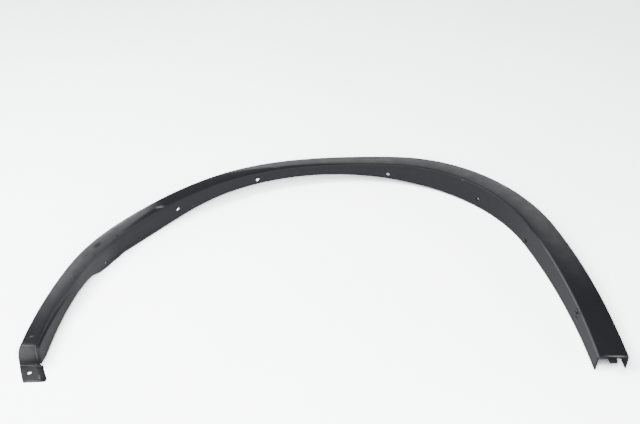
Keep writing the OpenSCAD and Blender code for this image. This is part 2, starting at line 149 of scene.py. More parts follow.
Pair = tuple[float, float]
Triple = tuple[float, float, float]
Colour = tuple[float, float, float, float]
Socket = bpy.types.NodeSocket
Body = bpy.types.Object


class Solver(Enum):
    """Ways in which a node tree may join or cut meshes."""

    JOIN = "UNION"
    CUT = "DIFFERENCE"


class Skin(Enum):
    """The two sides of the moulded wall."""

    OUTER = 1.0
    INNER = -1.0


# ---------------------------------------------------------------- small maths


def mix(a: float, b: float, share: float) -> float:
    """Return the value that lies at a share of the way from a to b."""
    return a + (b - a) * share


def ease(value: float, start: float, end: float) -> float:
    """Return a smooth step from 0 at start to 1 at end."""
    t = min(1.0, max(0.0, (value - start) / (end - start)))
    return t * t * (3 - 2 * t)


def bump(value: float, middle: float, length: float) -> float:
    """Return 1 round the middle, falling smoothly to 0 at half the length to each side."""
    return 1 - ease(abs(value - middle), length / 6, length / 2)


def sin_deg(angle: float) -> float:
    """Return the sine of an angle in degrees."""
    return math.sin(math.radians(angle))


def cos_deg(angle: float) -> float:
    """Return the cosine of an angle in degrees."""
    return math.cos(math.radians(angle))


# ---------------------------------------------------------------- arch line


@dataclass(frozen=True)
class Arc:
    """One arc of the arch line.

    Attributes:
        radius: Radius in millimetres.
        turn: Turn to the right, in degrees.
    """

    radius: float
    turn: float

    @property
    def length(self) -> float:
        """Length of the arc in millimetres."""
        return self.radius * math.radians(self.turn)


@dataclass(frozen=True)
class Place:
    """A point of the arch line with the heading it is passed at."""

    x: float
    y: float
    heading: float

    def turned(self, radius: float, turn: float) -> "Place":
        """Return the place after a turn to the right on a radius."""
        after = self.heading - turn
        return Place(
            self.x + radius * (sin_deg(self.heading) - sin_deg(after)),
            self.y + radius * (cos_deg(after) - cos_deg(self.heading)),
            after,
        )

    def point(self, outward: float, height: float, forward: float = 0.0) -> Vector:
        """Return a point set off from the place.

        Args:
            outward: Distance away from the wheel.
            height: Height above the floor.
            forward: Distance along the heading.

        Returns:
            The point in the row frame, in millimetres.
        """
        s, c = sin_deg(self.heading), cos_deg(self.heading)
        x, y = self.x - outward * s + forward * c, self.y + outward * c + forward * s
        return Vector((x, y, height))


@dataclass(frozen=True)
class ArchLine:
    """Seven tangent arcs from the foot to the tail."""

    home: Pair = (-426.831, -247.834)
    start_heading: float = 87.0
    arcs: tuple[Arc, ...] = (
        Arc(758, 13.3),
        Arc(361, 21.8),
        Arc(542, 22.2),
        Arc(490, 34.1),
        Arc(374, 11.1),
        Arc(277, 58.5),
        Arc(1238, 14.3),
    )

    @property
    def joints(self) -> list[float]:
        """Lengths along the line at which its arcs meet, with both ends."""
        at = [0.0]
        for arc in self.arcs:
            at.append(at[-1] + arc.length)
        return at

    @property
    def length(self) -> float:
        """Whole length of the line."""
        return self.joints[-1]

    def span(self, s: float) -> int:
        """Return the index of the arc that holds length s."""
        at = self.joints
        return max(i for i in range(len(self.arcs)) if i == 0 or s >= at[i])

    def place(self, s: float) -> Place:
        """Return the place at length s."""
        here = Place(self.home[0], self.home[1], self.start_heading)
        last = self.span(s)
        for arc in self.arcs[:last]:
            here = here.turned(arc.radius, arc.turn)
        radius = self.arcs[last].radius
        return here.turned(radius, math.degrees((s - self.joints[last]) / radius))

    def before(self, q: float, turn: float = 0.0) -> Place:
        """Return the place at distance q in front of the foot end, turned by an angle."""
        h = self.start_heading
        return Place(self.home[0] - q * cos_deg(h), self.home[1] - q * sin_deg(h), h + turn)

    def smooth(self, values: tuple[float, ...], s: float) -> float:
        """Return a size given at the joints, read at length s from one smooth curve.

        Args:
            values: The size at each joint.
            s: Length along the line.

        Returns:
            The size there.
        """
        at, i, last = self.joints, self.span(s), len(values) - 1

        def slope(j: int) -> float:
            """Return the curve's slope at joint j."""
            if j == 0:
                return (values[1] - values[0]) / (at[1] - at[0])
            if j == last:
                return (values[last] - values[last - 1]) / (at[last] - at[last - 1])
            a, b = at[j] - at[j - 1], at[j + 1] - at[j]
            rise, after = values[j] - values[j - 1], values[j + 1] - values[j]
            return (b * rise / a + a * after / b) / (a + b)

        h = at[i + 1] - at[i]
        t = (s - at[i]) / h
        t2, t3 = t * t, t * t * t
        return (
            (2 * t3 - 3 * t2 + 1) * values[i]
            + (t3 - 2 * t2 + t) * h * slope(i)
            + (3 * t2 - 2 * t3) * values[i + 1]
            + (t3 - t2) * h * slope(i + 1)
        )


# ---------------------------------------------------------------- section


@dataclass(frozen=True)
class SkinSizes:
    """Sizes of one skin of the section at one ring, in millimetres.

    Attributes:
        inset: Depth of this skin under the outer one.
        face_z: Height of the face at its crease.
        low: Heights of the flange's and the skirt's lower edges.
        lean: How far those edges lean away from the face.
        step: Width and height of the ledge under the face.
        width: Width of the face.
        fall: Fall of the face to its outer edge.
        crease_r: Rounding between face and flange.
        edge_r: Rounding between face and skirt.
        lip_r: Rounding of the lower edges.
        step_gap: Least height between the crease's rounding and the ledge.
        least_r: Least rounding of an inner skin.
        round_share: Most of the ledge's and the skirt's height that their roundings take.
        corner_share: Most of the flange's height that its bend under the ledge takes.
        lean_share: Share of the skirt's lean that is reached just under its rounding.
        soft: Share of the ledge that each of its bends takes.
    """

    inset: float
    face_z: float
    low: Pair
    lean: Pair
    step: Pair
    width: float
    fall: float
    crease_r: float
    edge_r: float = 5.0
    lip_r: float = 0.7
    step_gap: float = 0.8
    least_r: float = 0.5
    round_share: Pair = (0.8, 0.6)
    corner_share: float = 0.12
    lean_share: float = 0.1
    soft: float = 0.35

    def keys(self, skin: Skin) -> list[Pair]:
        """Return the key points of this skin, from the flange's edge to the skirt's.

        Args:
            skin: Which side of the wall this is, which sets where its edges round to.

        Returns:
            Points as (outward, height).
        """
        z, low, lean = self.face_z, self.low, self.lean
        deep = z - low[0]
        reach = min(max(self.step[1], self.crease_r + self.step_gap), deep / 2)
        ri = min(max(self.crease_r - self.inset / 2, self.least_r), reach * self.round_share[0])
        crease, edge, edge_z = self.step[0] + self.inset, self.width - self.inset, z - self.fall
        ro = min(self.edge_r - self.inset / 2, (edge_z - low[1]) * self.round_share[1])
        a, b = crease + ri, edge - ro

        def face(u: float) -> float:
            """Return the height of the face at u."""
            return z - self.fall * ((u - crease) / (edge - crease)) ** 2

        middle = (a + b) / 2
        tangent = face(a) - self.fall * 2 * (a - crease) / (edge - crease) ** 2 * (middle - a)
        k0 = Vector((self.inset - lean[0], low[0]))
        k1 = Vector((self.inset, z - reach - min(self.step[1] / 3, deep / 5)))
        k2 = Vector((crease, z - reach))
        k3 = Vector((crease, z - ri))
        k8 = Vector((edge + lean[1] * self.lean_share, edge_z - ro))
        k9 = Vector((edge + lean[1], low[1]))
        lip = min(self.lip_r, deep / 5, (edge_z - low[1]) / 6)
        inward, soft = Vector((lip * skin.value, 0.0)), self.soft
        points = [
            k0 + (k1 - k0).normalized() * lip,
            k0,
            k0 + inward,
            k1 + (k0 - k1) * min(self.corner_share, soft * (k2 - k1).length / (k0 - k1).length),
            k1,
            k1.lerp(k2, soft),
            k1.lerp(k2, 1 - soft),
            k2,
            k2.lerp(k3, 0.5),
            k3,
            Vector((crease, z)),
            Vector((a, face(a))),
            Vector((middle, tangent)),
            Vector((b, face(b))),
            Vector((edge, edge_z)),
            k8,
            k9 + (k8 - k9).normalized() * lip,
            k9,
            k9 - inward,
        ]
        return [(p.x, p.y) for p in points]


@dataclass(frozen=True)
class Stretch:
    """A stretch of the section: a straight line or a rounded one over three key points."""

    keys: tuple[int, ...]
    steps: int

    def weights(self, offset: int, flip: bool) -> list[tuple[Triple, Triple]]:
        """Return the picks and shares of the section points on this stretch, its end left out.

        Args:
            offset: Index of the skin's first key in a ring.
            flip: Whether the stretch is walked from its last key to its first.

        Returns:
            For each point, three key indices and the share of each.
        """
        keys = [k + offset for k in (reversed(self.keys) if flip else self.keys)]
        rows = []
        for i in range(self.steps):
            t = i / self.steps
            if len(keys) == 2:
                rows.append(((keys[0], keys[1], keys[1]), (1 - t, t, 0.0)))
            else:
                rows.append(((keys[0], keys[1], keys[2]), ((1 - t) ** 2, 2 * t * (1 - t), t * t)))
        return rows


SKIN_KEYS = 19
OUTER_RUN = (
    Stretch((2, 1, 0), 3),
    Stretch((0, 3), 6),
    Stretch((3, 4, 5), 3),
    Stretch((5, 6), 1),
    Stretch((6, 7, 8), 3),
    Stretch((8, 9), 1),
    Stretch((9, 10, 11), 8),
    Stretch((11, 12, 13), 9),
    Stretch((13, 14, 15), 8),
    Stretch((15, 16), 5),
    Stretch((16, 17, 18), 3),
)


def section_template() -> list[tuple[Triple, Triple]]:
    """Return picks and shares for a whole ring: the outer skin out, the inner skin back."""
    rows: list[tuple[Triple, Triple]] = []
    for stretch in OUTER_RUN:
        rows += stretch.weights(0, False)
    last = OUTER_RUN[-1].keys[-1]
    rows.append(((last, last, last), (1.0, 0.0, 0.0)))
    for stretch in reversed(OUTER_RUN):
        rows += stretch.weights(SKIN_KEYS, True)
    first = OUTER_RUN[0].keys[0] + SKIN_KEYS
    rows.append(((first, first, first), (1.0, 0.0, 0.0)))
    return rows


# ---------------------------------------------------------------- shell


@dataclass(frozen=True)
class ChannelSizes:
    """Sizes of the channel, in millimetres, the first three given at the joints of the line.

    Attributes:
        face_z: Height of the face at its crease.
        flange_d: Depth of the flange.
        face_w: Width of the face.
        wall: Thickness of the wall.
        face_fall: Most that the face falls to its outer edge.
        fall_power: How fast that fall sets in from both ends, as a power.
        crease_r: Least rounding between face and flange.
        soft_r: What the shoulder on the foot's side adds to it.
        tail_soft: What the tail adds to it, and the length over which it does.
        ledge_w: Width of the ledge under the face.
        ledge_h: Its height.
        ledge_len: Length along the line at which half of it is left.
        ledge_fade: Shares of that length between which it fades.
        flange_lean: Lean of the flange's lower edge.
        skirt_d: Depth of the skirt at foot, crown and tail.
        skirt_lean: Outward lean of its lower edge at the foot and beyond the second arc.
        ear_s: Place of the ear round the first clip hole.
        ear_h: How far the ear reaches below the flange.
        ear_len: Its length.
        corner_cut: Height and length of what is cut off the flange's corner at the foot.
        end_r: Rounding of the wall at the tail's end.
    """

    face_z: tuple[float, ...] = (40.3, 48.6, 44.6, 47.9, 43.7, 47.5, 44.7, 29.0)
    flange_d: tuple[float, ...] = (38.0, 34.4, 44.6, 27.0, 27.9, 38.2, 44.9, 27.7)
    face_w: tuple[float, ...] = (29.5, 27.5, 31.6, 37.6, 40.5, 42.9, 48.8, 48.9)
    wall: float = 2.8
    face_fall: float = 6.0
    fall_power: float = 0.8
    crease_r: float = 3.0
    soft_r: float = 11.0
    tail_soft: Pair = (3.0, 40.0)
    ledge_w: float = 3.2
    ledge_h: float = 3.4
    ledge_len: float = 110.0
    ledge_fade: Pair = (0.6, 1.4)
    flange_lean: float = 0.8
    skirt_d: Triple = (35.0, 14.0, 25.6)
    skirt_lean: Pair = (6.2, -0.4)
    ear_s: float = 241.0
    ear_h: float = 7.5
    ear_len: float = 94.0
    corner_cut: Pair = (4.5, 14.0)
    end_r: float = 0.9


@dataclass(frozen=True)
class FootSizes:
    """Sizes of the foot, in millimetres and degrees.

    Attributes:
        tab_z: Height of the tab's upper side.
        reach: Distance of the tab's front from the end of the face.
        width: Width of the tab.
        turn: Angle by which the tab's sides run in towards the wheel.
        front_turn: Angle by which its front is turned.
        bend_r: Rounding between face and wall.
        draft: How far the wall stands out at its lower end.
        fillet_r: Rounding between wall and tab.
        kick: How far outward the tab is set off from the face.
        swell: How much wider the wall is halfway down.
        lip_r: Rounding between tab and lip.
        lip_lean: Lean of the lip.
        lip_round: Share of the tab along which the lip's corner is rounded.
        lip_end: How far up the lip's lower edge moves at that corner, as a share.
        tab_lean: Lean of the tab's outer edge.
        notch_z: Height of the notch under the wheel side of the wall.
        step: Width and height of the ledge where it ends on the tab.
        screw_q: Distance of the screw hole from the end of the face.
        screw_out: How far it lies outward of the tab's middle.
        tab_steps: Number of rings on the tab.
        wall_steps: Number of steps on the wall.
        notch_run: Shares of the way down between which the notch closes.
        edge_run: Those between which the flange's lower edge moves to the notch.
        lip_run: Those between which the lip's lean grows.
        skirt_run: Those between which the skirt's lean fades.
    """

    tab_z: float = 4.5
    reach: float = 38.6
    width: float = 28.8
    turn: float = 27.0
    front_turn: float = 5.0
    bend_r: float = 5.0
    draft: float = 1.4
    fillet_r: float = 4.8
    kick: float = 5.2
    swell: float = 1.0
    lip_r: float = 2.0
    lip_lean: float = 8.8
    lip_round: float = 0.3
    lip_end: float = 0.5
    tab_lean: float = 0.3
    notch_z: float = 6.0
    step: Pair = (1.2, 1.0)
    screw_q: float = 21.5
    screw_out: float = 1.2
    tab_steps: int = 16
    wall_steps: int = 8
    notch_run: Pair = (0.5, 0.95)
    edge_run: Pair = (0.0, 0.3)
    lip_run: Pair = (0.6, 1.0)
    skirt_run: Pair = (0.0, 0.4)

    @property
    def tab_q(self) -> float:
        """Distance in front of the face at which the flat tab starts."""
        return self.bend_r + self.draft + self.fillet_r


@dataclass
class Shell:
    """The moulded shell: channel and foot as one run of rings."""

    line: ArchLine = field(default_factory=ArchLine)
    channel: ChannelSizes = field(default_factory=ChannelSizes)
    foot: FootSizes = field(default_factory=FootSizes)
    pitch: float = 5.0

    def face_z(self, s: float) -> float:
        """Return the height of the face at length s."""
        return self.line.smooth(self.channel.face_z, s)

    def width(self, s: float) -> float:
        """Return the width of the face at length s."""
        return self.line.smooth(self.channel.face_w, s)

    def flange_d(self, s: float) -> float:
        """Return the depth of the flange, which never reaches below the floor."""
        c = self.channel
        cut = c.corner_cut[0] * (1 - min(1.0, s / c.corner_cut[1]))
        depth = self.line.smooth(c.flange_d, s) + c.ear_h * bump(s, c.ear_s, c.ear_len) - cut
        return min(self.face_z(s), depth)

    def fall(self, s: float) -> float:
        """Return the fall of the face to its outer edge."""
        c, arched = self.channel, max(0.0, sin_deg(180 * s / self.line.length))
        return c.face_fall * arched**c.fall_power

    def ledge(self, s: float) -> float:
        """Return the width of the ledge under the face."""
        c = self.channel
        start, end = (c.ledge_len * share for share in c.ledge_fade)
        return c.ledge_w * (1 - ease(s, start, end))

    def crease_r(self, s: float) -> float:
        """Return the rounding between face and flange."""
        c, at, end = self.channel, self.line.joints, self.line.length
        soft = c.soft_r * bump(s, (at[1] + at[2]) / 2, at[3])
        return c.crease_r + soft + c.tail_soft[0] * ease(s, end - c.tail_soft[1], end)

    def skirt_d(self, s: float) -> float:
        """Return the depth of the outer skirt."""
        at, (foot, crown, tail) = self.line.joints, self.channel.skirt_d
        if s < at[3]:
            return mix(foot, crown, ease(s, 0, at[3]))
        return mix(crown, tail, ease(s, at[4], at[6]))

    def skirt_lean(self, s: float) -> float:
        """Return the outward lean of the skirt's lower edge."""
        foot, tail = self.channel.skirt_lean
        return mix(foot, tail, ease(s, 0, self.line.joints[2]))

    def low(self, s: float) -> Pair:
        """Return the heights of the flange's and the skirt's lower edges."""
        z = self.face_z(s)
        return (z - self.flange_d(s), z - self.fall(s) - self.skirt_d(s))

    def channel_skin(self, s: float, skin: Skin, shrink: float = 0.0) -> list[Pair]:
        """Return the key points of one skin of the channel at length s, shrunk into the wall."""
        c = self.channel
        inset = shrink if skin is Skin.OUTER else c.wall - shrink
        return SkinSizes(
            inset=inset,
            face_z=self.face_z(s) - inset,
            low=self.low(s),
            lean=(c.flange_lean, self.skirt_lean(s)),
            step=(self.ledge(s), c.ledge_h),
            width=self.width(s),
            fall=self.fall(s),
            crease_r=self.crease_r(s),
        ).keys(skin)

    def foot_points(self, off: float) -> list[Pair]:
        """Return the line of the foot, from the tab's front to the face, as (q, height).

        Args:
            off: Distance of the line under the outer skin.

        Returns:
            Points on the tab, the fillet, the wall and the bend.
        """
        f, z0 = self.foot, self.channel.face_z[0]
        low, high = f.fillet_r + off, f.bend_r - off
        shares = [1 - (i / f.tab_steps) ** 1.6 for i in range(f.tab_steps)]
        tab = [(mix(f.tab_q, f.reach, share), f.tab_z - off) for share in shares]
        fillet = [
            (f.tab_q - low * cos_deg(a), f.tab_z + f.fillet_r - low * sin_deg(a))
            for a in range(90, -1, -9)
        ]
        bend = [(high * sin_deg(a), z0 - f.bend_r + high * cos_deg(a)) for a in range(90, 0, -10)]
        start, end = fillet[-1], bend[0]
        shares = [i / f.wall_steps for i in range(1, f.wall_steps)]
        wall = [(mix(start[0], end[0], share), mix(start[1], end[1], share)) for share in shares]
        return tab + fillet + wall + bend

    def tab_share(self, q: float) -> float:
        """Return how far along the tab q lies: 0 at its start and before it, 1 at its front."""
        f = self.foot
        return max(0.0, (q - f.tab_q) / (f.reach - f.tab_q))

    def lip_share(self, q: float) -> float:
        """Return how much of the lip stands at q: 1 along the tab, rounded off at its corner."""
        rounding, least = self.foot.lip_round, 0.02
        c = max(0.0, (self.tab_share(q) - 1 + rounding) / rounding)
        return math.sqrt(max(least, 1 - c * c))

    def foot_side(self, q: float, k: float) -> float:
        """Return the outward place of the foot's crease."""
        f = self.foot
        start = f.tab_q - f.fillet_r / 3
        return f.kick * k * (2 - k) - math.tan(math.radians(f.turn)) * max(0.0, q - start)

    def foot_skin(self, at: Pair, q: float, k: float, skin: Skin) -> list[Pair]:
        """Return the key points of one skin of the foot.

        Args:
            at: This skin's point on the line of the foot.
            q: The outer skin's distance in front of the face.
            k: Share of the way down from the face to the tab.
            skin: Which side of the wall this is.

        Returns:
            Points as (outward, height).
        """
        f, c = self.foot, self.channel
        inset = 0.0 if skin is Skin.OUTER else c.wall
        lip = self.lip_share(q)
        low = mix(f.notch_z, 0, ease(k, *f.notch_run))
        if k > FLAT:
            low = (f.tab_z - c.wall) * (1 - lip) * f.lip_end
        start, down = self.low(0), ease(k, *f.edge_run)
        keys = SkinSizes(
            inset=inset,
            face_z=at[1],
            low=(mix(start[0], low, down), mix(start[1], 0, k)),
            lean=(
                mix(c.flange_lean, f.lip_lean * lip, ease(k, *f.lip_run)),
                mix(c.skirt_lean[0], f.tab_lean, ease(k, *f.skirt_run)),
            ),
            step=(mix(c.ledge_w, f.step[0], k), mix(c.ledge_h, f.step[1], k)),
            width=mix(c.face_w[0], f.width, k) + f.swell * sin_deg(180 * k),
            fall=0.0,
            crease_r=mix(self.crease_r(0), f.lip_r, k),
        ).keys(skin)
        side = self.foot_side(q, k)
        return [(u + side, z) for u, z in keys]

    def rings(self) -> list[list[Vector]]:
        """Return the key points of every ring, from the tab's front to the tail."""
        f, line, out = self.foot, self.line, []
        for outer, inner in zip(self.foot_points(0.0), self.foot_points(self.channel.wall)):
            k = (self.channel.face_z[0] - outer[1]) / (self.channel.face_z[0] - f.tab_z)
            ring = []
            for at, skin in ((outer, Skin.OUTER), (inner, Skin.INNER)):
                here = line.before(at[0], f.front_turn * self.tab_share(at[0]))
                ring += [here.point(u, z) for u, z in self.foot_skin(at, outer[0], k, skin)]
            out.append(ring)
        round_by, end_steps = self.channel.end_r, 5
        count = round(line.length / self.pitch)
        stops = [((line.length - round_by) * i / count, 0.0) for i in range(count)]
        for i in range(end_steps):
            a = 90 * i / (end_steps - 1)
            stops.append((line.length - round_by * (1 - sin_deg(a)), round_by * (1 - cos_deg(a))))
        for s, shrink in stops:
            here = line.place(s)
            ring = []
            for skin in Skin:
                ring += [here.point(u, z) for u, z in self.channel_skin(s, skin, shrink)]
            out.append(ring)
        return out

    def under_z(self, s: float, share: float) -> float:
        """Return the height of the middle of the wall under the face, at a share of its width."""
        return self.face_z(s) - self.channel.wall / 2 - self.fall(s) * share**2


# ---------------------------------------------------------------- meshes


def linked(data: bpy.types.ID) -> Body:
    """Return a new object at the origin, linked to the scene, that carries data and their name."""
    obj = bpy.data.objects.new(data.name, data)
    bpy.context.scene.collection.objects.link(obj)
    return obj


def from_edit(name: str, bm: bmesh.types.BMesh) -> Body:
    """Return a new object made from an edit mesh, which is freed."""
    mesh = bpy.data.meshes.new(name)
    bm.to_mesh(mesh)
    bm.free()
    return linked(mesh)


def mesh_object(
    name: str, verts: list[Vector], faces: list[tuple[int, ...]], scale: float = MM
) -> Body:
    """Make a linked mesh object at the origin.

    Args:
        name: Name of the object and its mesh.
        verts: Corners, in millimetres unless scale says otherwise.
        faces: Corner indices of each face.
        scale: Factor to metres.

    Returns:
        The new object.
    """
    mesh = bpy.data.meshes.new(name)
    mesh.from_pydata([tuple(v * scale) for v in verts], [], faces)
    mesh.update()
    return linked(mesh)


def add_vectors(mesh: bpy.types.Mesh, name: str, values: list[Triple]) -> None:
    """Store a vector for each corner of a mesh under a name."""
    layer = mesh.attributes.new(name, "FLOAT_VECTOR", "POINT")
    layer.data.foreach_set("vector", [c for value in values for c in value])


def soften(bm: bmesh.types.BMesh, edges: list[bmesh.types.BMEdge], round_by: float) -> None:
    """Round edges of an edit mesh by a radius in millimetres."""
    bmesh.ops.bevel(bm, geom=edges, offset=round_by * MM, segments=2, affect="EDGES", profile=0.5)


def bevelled_block(name: str, size: Triple, round_by: float) -> Body:
    """Make a block centred on the origin with rounded edges.

    Args:
        name: Name of the object.
        size: Its three sizes in millimetres.
        round_by: Radius of its edges in millimetres.

    Returns:
        The new object.
    """
    bm = bmesh.new()
    bmesh.ops.create_cube(bm, size=1.0, matrix=Matrix.Diagonal((*[s * MM for s in size], 1.0)))
    soften(bm, bm.edges[:], round_by)
    return from_edit(name, bm)


def standing(
    place: Place, outward: float, height: float, forward: float = 0.0, tilt: float = 0.0
) -> Matrix:
    """Return the matrix of a thing set on the arch line.

    Its X points outward, its Y against the heading and its Z up, all turned by the tilt about Y.

    Args:
        place: Where on the line.
        outward: Distance away from the wheel, in millimetres.
        height: Height above the floor, in millimetres.
        forward: Distance along the heading, in millimetres.
        tilt: Turn about its Y, in radians.

    Returns:
        The matrix, in metres.
    """
    s, c = sin_deg(place.heading), cos_deg(place.heading)
    turn = Matrix(((-s, -c, 0), (c, -s, 0), (0, 0, 1)))
    base = turn.to_4x4() @ Matrix.Rotation(tilt, 4, "Y")
    return Matrix.Translation(place.point(outward, height, forward) * MM) @ base


# ---------------------------------------------------------------- node trees


class Nodes:
    """A node tree that is built link by link."""

    def __init__(self, tree: bpy.types.NodeTree) -> None:
        """Start on an empty tree."""
        self.tree = tree

    def node(self, kind: str, **settings: object) -> bpy.types.Node:
        """Add a node and set its properties."""
        made = self.tree.nodes.new(kind)
        for key, value in settings.items():
            setattr(made, key, value)
        return made

    def link(self, out: Socket, into: Socket) -> None:
        """Link two sockets."""
        self.tree.links.new(out, into)

    def put(self, value: object, into: Socket) -> None:
        """Give an input a value: a socket's, or a plain number or colour."""
        if isinstance(value, (int, float, tuple)):
            into.default_value = value
        else:
            self.link(value, into)

    def maths(self, way: str, a: object, b: object = 0.0, clamp: bool = False) -> Socket:
        """Return the result of a maths step on sockets or numbers."""
        made = self.node("ShaderNodeMath", operation=way, use_clamp=clamp)
        self.put(a, made.inputs[0])
        self.put(b, made.inputs[1])
        return made.outputs[0]

    def product(self, first: object, *others: object) -> Socket:
        """Return the product of sockets or numbers."""
        for other in others:
            first = self.maths("MULTIPLY", first, other)
        return first

    def total(self, first: object, *others: object) -> Socket:
        """Return the sum of sockets or numbers."""
        for other in others:
            first = self.maths("ADD", first, other)
        return first

    def seen_gain(self, exposure: float, share: object = 1.0) -> Socket:
        """Return how much brighter than its light an overexposed backdrop shows to a camera.

        Args:
            exposure: What is added to 1 for rays from a camera.
            share: Share of that which a place gets.

        Returns:
            The factor: 1 for all light that falls on the moulding.
        """
        seen = self.node("ShaderNodeLightPath").outputs["Is Camera Ray"]
        return self.total(self.product(seen, share, exposure), 1.0)


class Tree(Nodes):
    """A geometry node tree with named inputs."""

    def __init__(self, name: str) -> None:
        """Start a tree with a geometry input and output."""
        super().__init__(bpy.data.node_groups.new(name, "GeometryNodeTree"))
        self.face = self.tree.interface
        for way in ("INPUT", "OUTPUT"):
            self.face.new_socket("Geometry", in_out=way, socket_type="NodeSocketGeometry")
        self.source = self.node("NodeGroupInput")
        self.sink = self.node("NodeGroupOutput")

    def size(self, name: str, kind: str, value: int | None = None) -> str:
        """Add a named input and return its identifier."""
        socket = self.face.new_socket(name, in_out="INPUT", socket_type=kind)
        if value is not None:
            socket.default_value = value
        return socket.identifier

    def named(self, attribute: str, kind: str) -> Socket:
        """Return the output of a Named Attribute node."""
        made = self.node("GeometryNodeInputNamedAttribute", data_type=kind)
        made.inputs["Name"].default_value = attribute
        return made.outputs["Attribute"]

    def real(self, geometry: Socket) -> Socket:
        """Return a geometry with its instances made real."""
        made = self.node("GeometryNodeRealizeInstances")
        self.link(geometry, made.inputs[0])
        return made.outputs[0]

    def set_out(self, points: object, shape: object, kind: int | None = None) -> Socket:
        """Return a shape set on points by the turns and sizes that they hold.

        Args:
            points: The points.
            shape: The shape's geometry.
            kind: Kind of the points that carry the shape, or None for all of them.

        Returns:
            The shapes as real geometry.
        """
        on = self.node("GeometryNodeInstanceOnPoints")
        self.link(points, on.inputs["Points"])
        self.link(shape, on.inputs["Instance"])
        self.link(self.named("turn", "FLOAT_VECTOR"), on.inputs["Rotation"])
        self.link(self.named("size", "FLOAT_VECTOR"), on.inputs["Scale"])
        if kind is not None:
            same = self.node("FunctionNodeCompare", data_type="FLOAT", operation="EQUAL")
            self.link(self.named("kind", "FLOAT"), same.inputs["A"])
            same.inputs["B"].default_value = kind
            same.inputs["Epsilon"].default_value = 0.1
            self.link(same.outputs[0], on.inputs["Selection"])
        return self.real(on.outputs[0])

    def vectors(self, way: str, a: object, b: object) -> Socket:
        """Return the vector result of a vector maths step; SCALE takes a number as b."""
        made = self.node("ShaderNodeVectorMath", operation=way)
        self.link(a, made.inputs[0])
        self.link(b, made.inputs["Scale"] if way == "SCALE" else made.inputs[1])
        return made.outputs[0]

    def geometry_of(self, obj_socket: Socket) -> Socket:
        """Return the geometry of an object input."""
        made = self.node("GeometryNodeObjectInfo", transform_space="ORIGINAL")
        self.link(obj_socket, made.inputs["Object"])
        return made.outputs["Geometry"]

    def read(self, geometry: object, value: object, index: object, kind: str) -> Socket:
        """Return a value sampled from the points of a geometry by index."""
        made = self.node("GeometryNodeSampleIndex", data_type=kind, domain="POINT")
        self.link(geometry, made.inputs["Geometry"])
        self.link(value, made.inputs["Value"])
        self.link(index, made.inputs["Index"])
        return made.outputs["Value"]

    def boolean(self, way: Solver, body: object, others: list[object]) -> Socket:
        """Return the body joined with or cut by other geometries."""
        made = self.node("GeometryNodeMeshBoolean", operation=way.value, solver="MANIFOLD")
        if way is Solver.CUT:
            self.link(body, made.inputs["Mesh 1"])
            for other in others:
                self.link(other, made.inputs["Mesh 2"])
        else:
            for other in [body, *others]:
                self.link(other, made.inputs["Mesh 2"])
        return made.outputs["Mesh"]


LOFT_OBJECTS = (
    "Key points",
    "Section",
    "Places",
    "Rib",
    "Seat",
    "Blocks",
    "Holes",
    "Drill",
    "Cutters",
)


def loft_tree() -> tuple[bpy.types.NodeTree, dict[str, str]]:
    """Build the tree that lofts a net over rings of key points and finishes the moulding.

    Returns:
        The tree and the identifiers of its inputs by name.
    """
    t = Tree("moulding_loft")
    ids = {name: t.size(name, "NodeSocketObject") for name in LOFT_OBJECTS}
    ids["Keys in a ring"] = t.size("Keys in a ring", "NodeSocketInt", 2 * SKIN_KEYS)
    ids["Points in a ring"] = t.size("Points in a ring", "NodeSocketInt", 1)
    ids["Finish"] = t.size("Finish", "NodeSocketMaterial")
    sizes = t.source.outputs

    # position of each net corner: three key points of its ring, mixed by its section point
    index = t.node("GeometryNodeInputIndex").outputs[0]
    ring = t.maths("FLOOR", t.maths("DIVIDE", index, sizes["Points in a ring"]))
    along = t.maths("SUBTRACT", index, t.maths("MULTIPLY", ring, sizes["Points in a ring"]))
    section = t.geometry_of(sizes["Section"])
    keys = t.geometry_of(sizes["Key points"])
    pick = t.read(section, t.named("pick", "FLOAT_VECTOR"), along, "FLOAT_VECTOR")
    share = t.read(section, t.named("share", "FLOAT_VECTOR"), along, "FLOAT_VECTOR")
    picks, shares = t.node("ShaderNodeSeparateXYZ"), t.node("ShaderNodeSeparateXYZ")
    t.link(pick, picks.inputs[0])
    t.link(share, shares.inputs[0])
    first = t.maths("MULTIPLY", ring, sizes["Keys in a ring"])
    where = t.node("GeometryNodeInputPosition").outputs[0]
    parts = []
    for axis in range(3):
        at = t.maths("FLOOR", t.total(first, picks.outputs[axis], 0.25))
        corner = t.read(keys, where, at, "FLOAT_VECTOR")
        parts.append(t.vectors("SCALE", corner, shares.outputs[axis]))
    spot = t.vectors("ADD", t.vectors("ADD", parts[0], parts[1]), parts[2])
    place = t.node("GeometryNodeSetPosition")
    t.link(sizes["Geometry"], place.inputs["Geometry"])
    t.link(spot, place.inputs["Position"])
    shell = place.outputs["Geometry"]

    # ribs and clip seats, one on each place along the arch, picked by kind
    places = t.geometry_of(sizes["Places"])
    shapes = [t.geometry_of(sizes[name]) for name in ("Rib", "Seat")]
    hidden = [t.set_out(places, shape, kind) for kind, shape in enumerate(shapes)]
    joined = t.boolean(Solver.JOIN, shell, [*hidden, t.geometry_of(sizes["Blocks"])])

    # round holes, one drill on each hole point, and the cutters of the other openings
    drills = t.set_out(t.geometry_of(sizes["Holes"]), t.geometry_of(sizes["Drill"]))
    opened = t.boolean(Solver.CUT, joined, [drills, t.geometry_of(sizes["Cutters"])])

    dress = t.node("GeometryNodeSetMaterial")
    t.link(t.real(opened), dress.inputs["Geometry"])
    t.link(sizes["Finish"], dress.inputs["Material"])
    t.link(dress.outputs[0], t.sink.inputs[0])
    return t.tree, ids


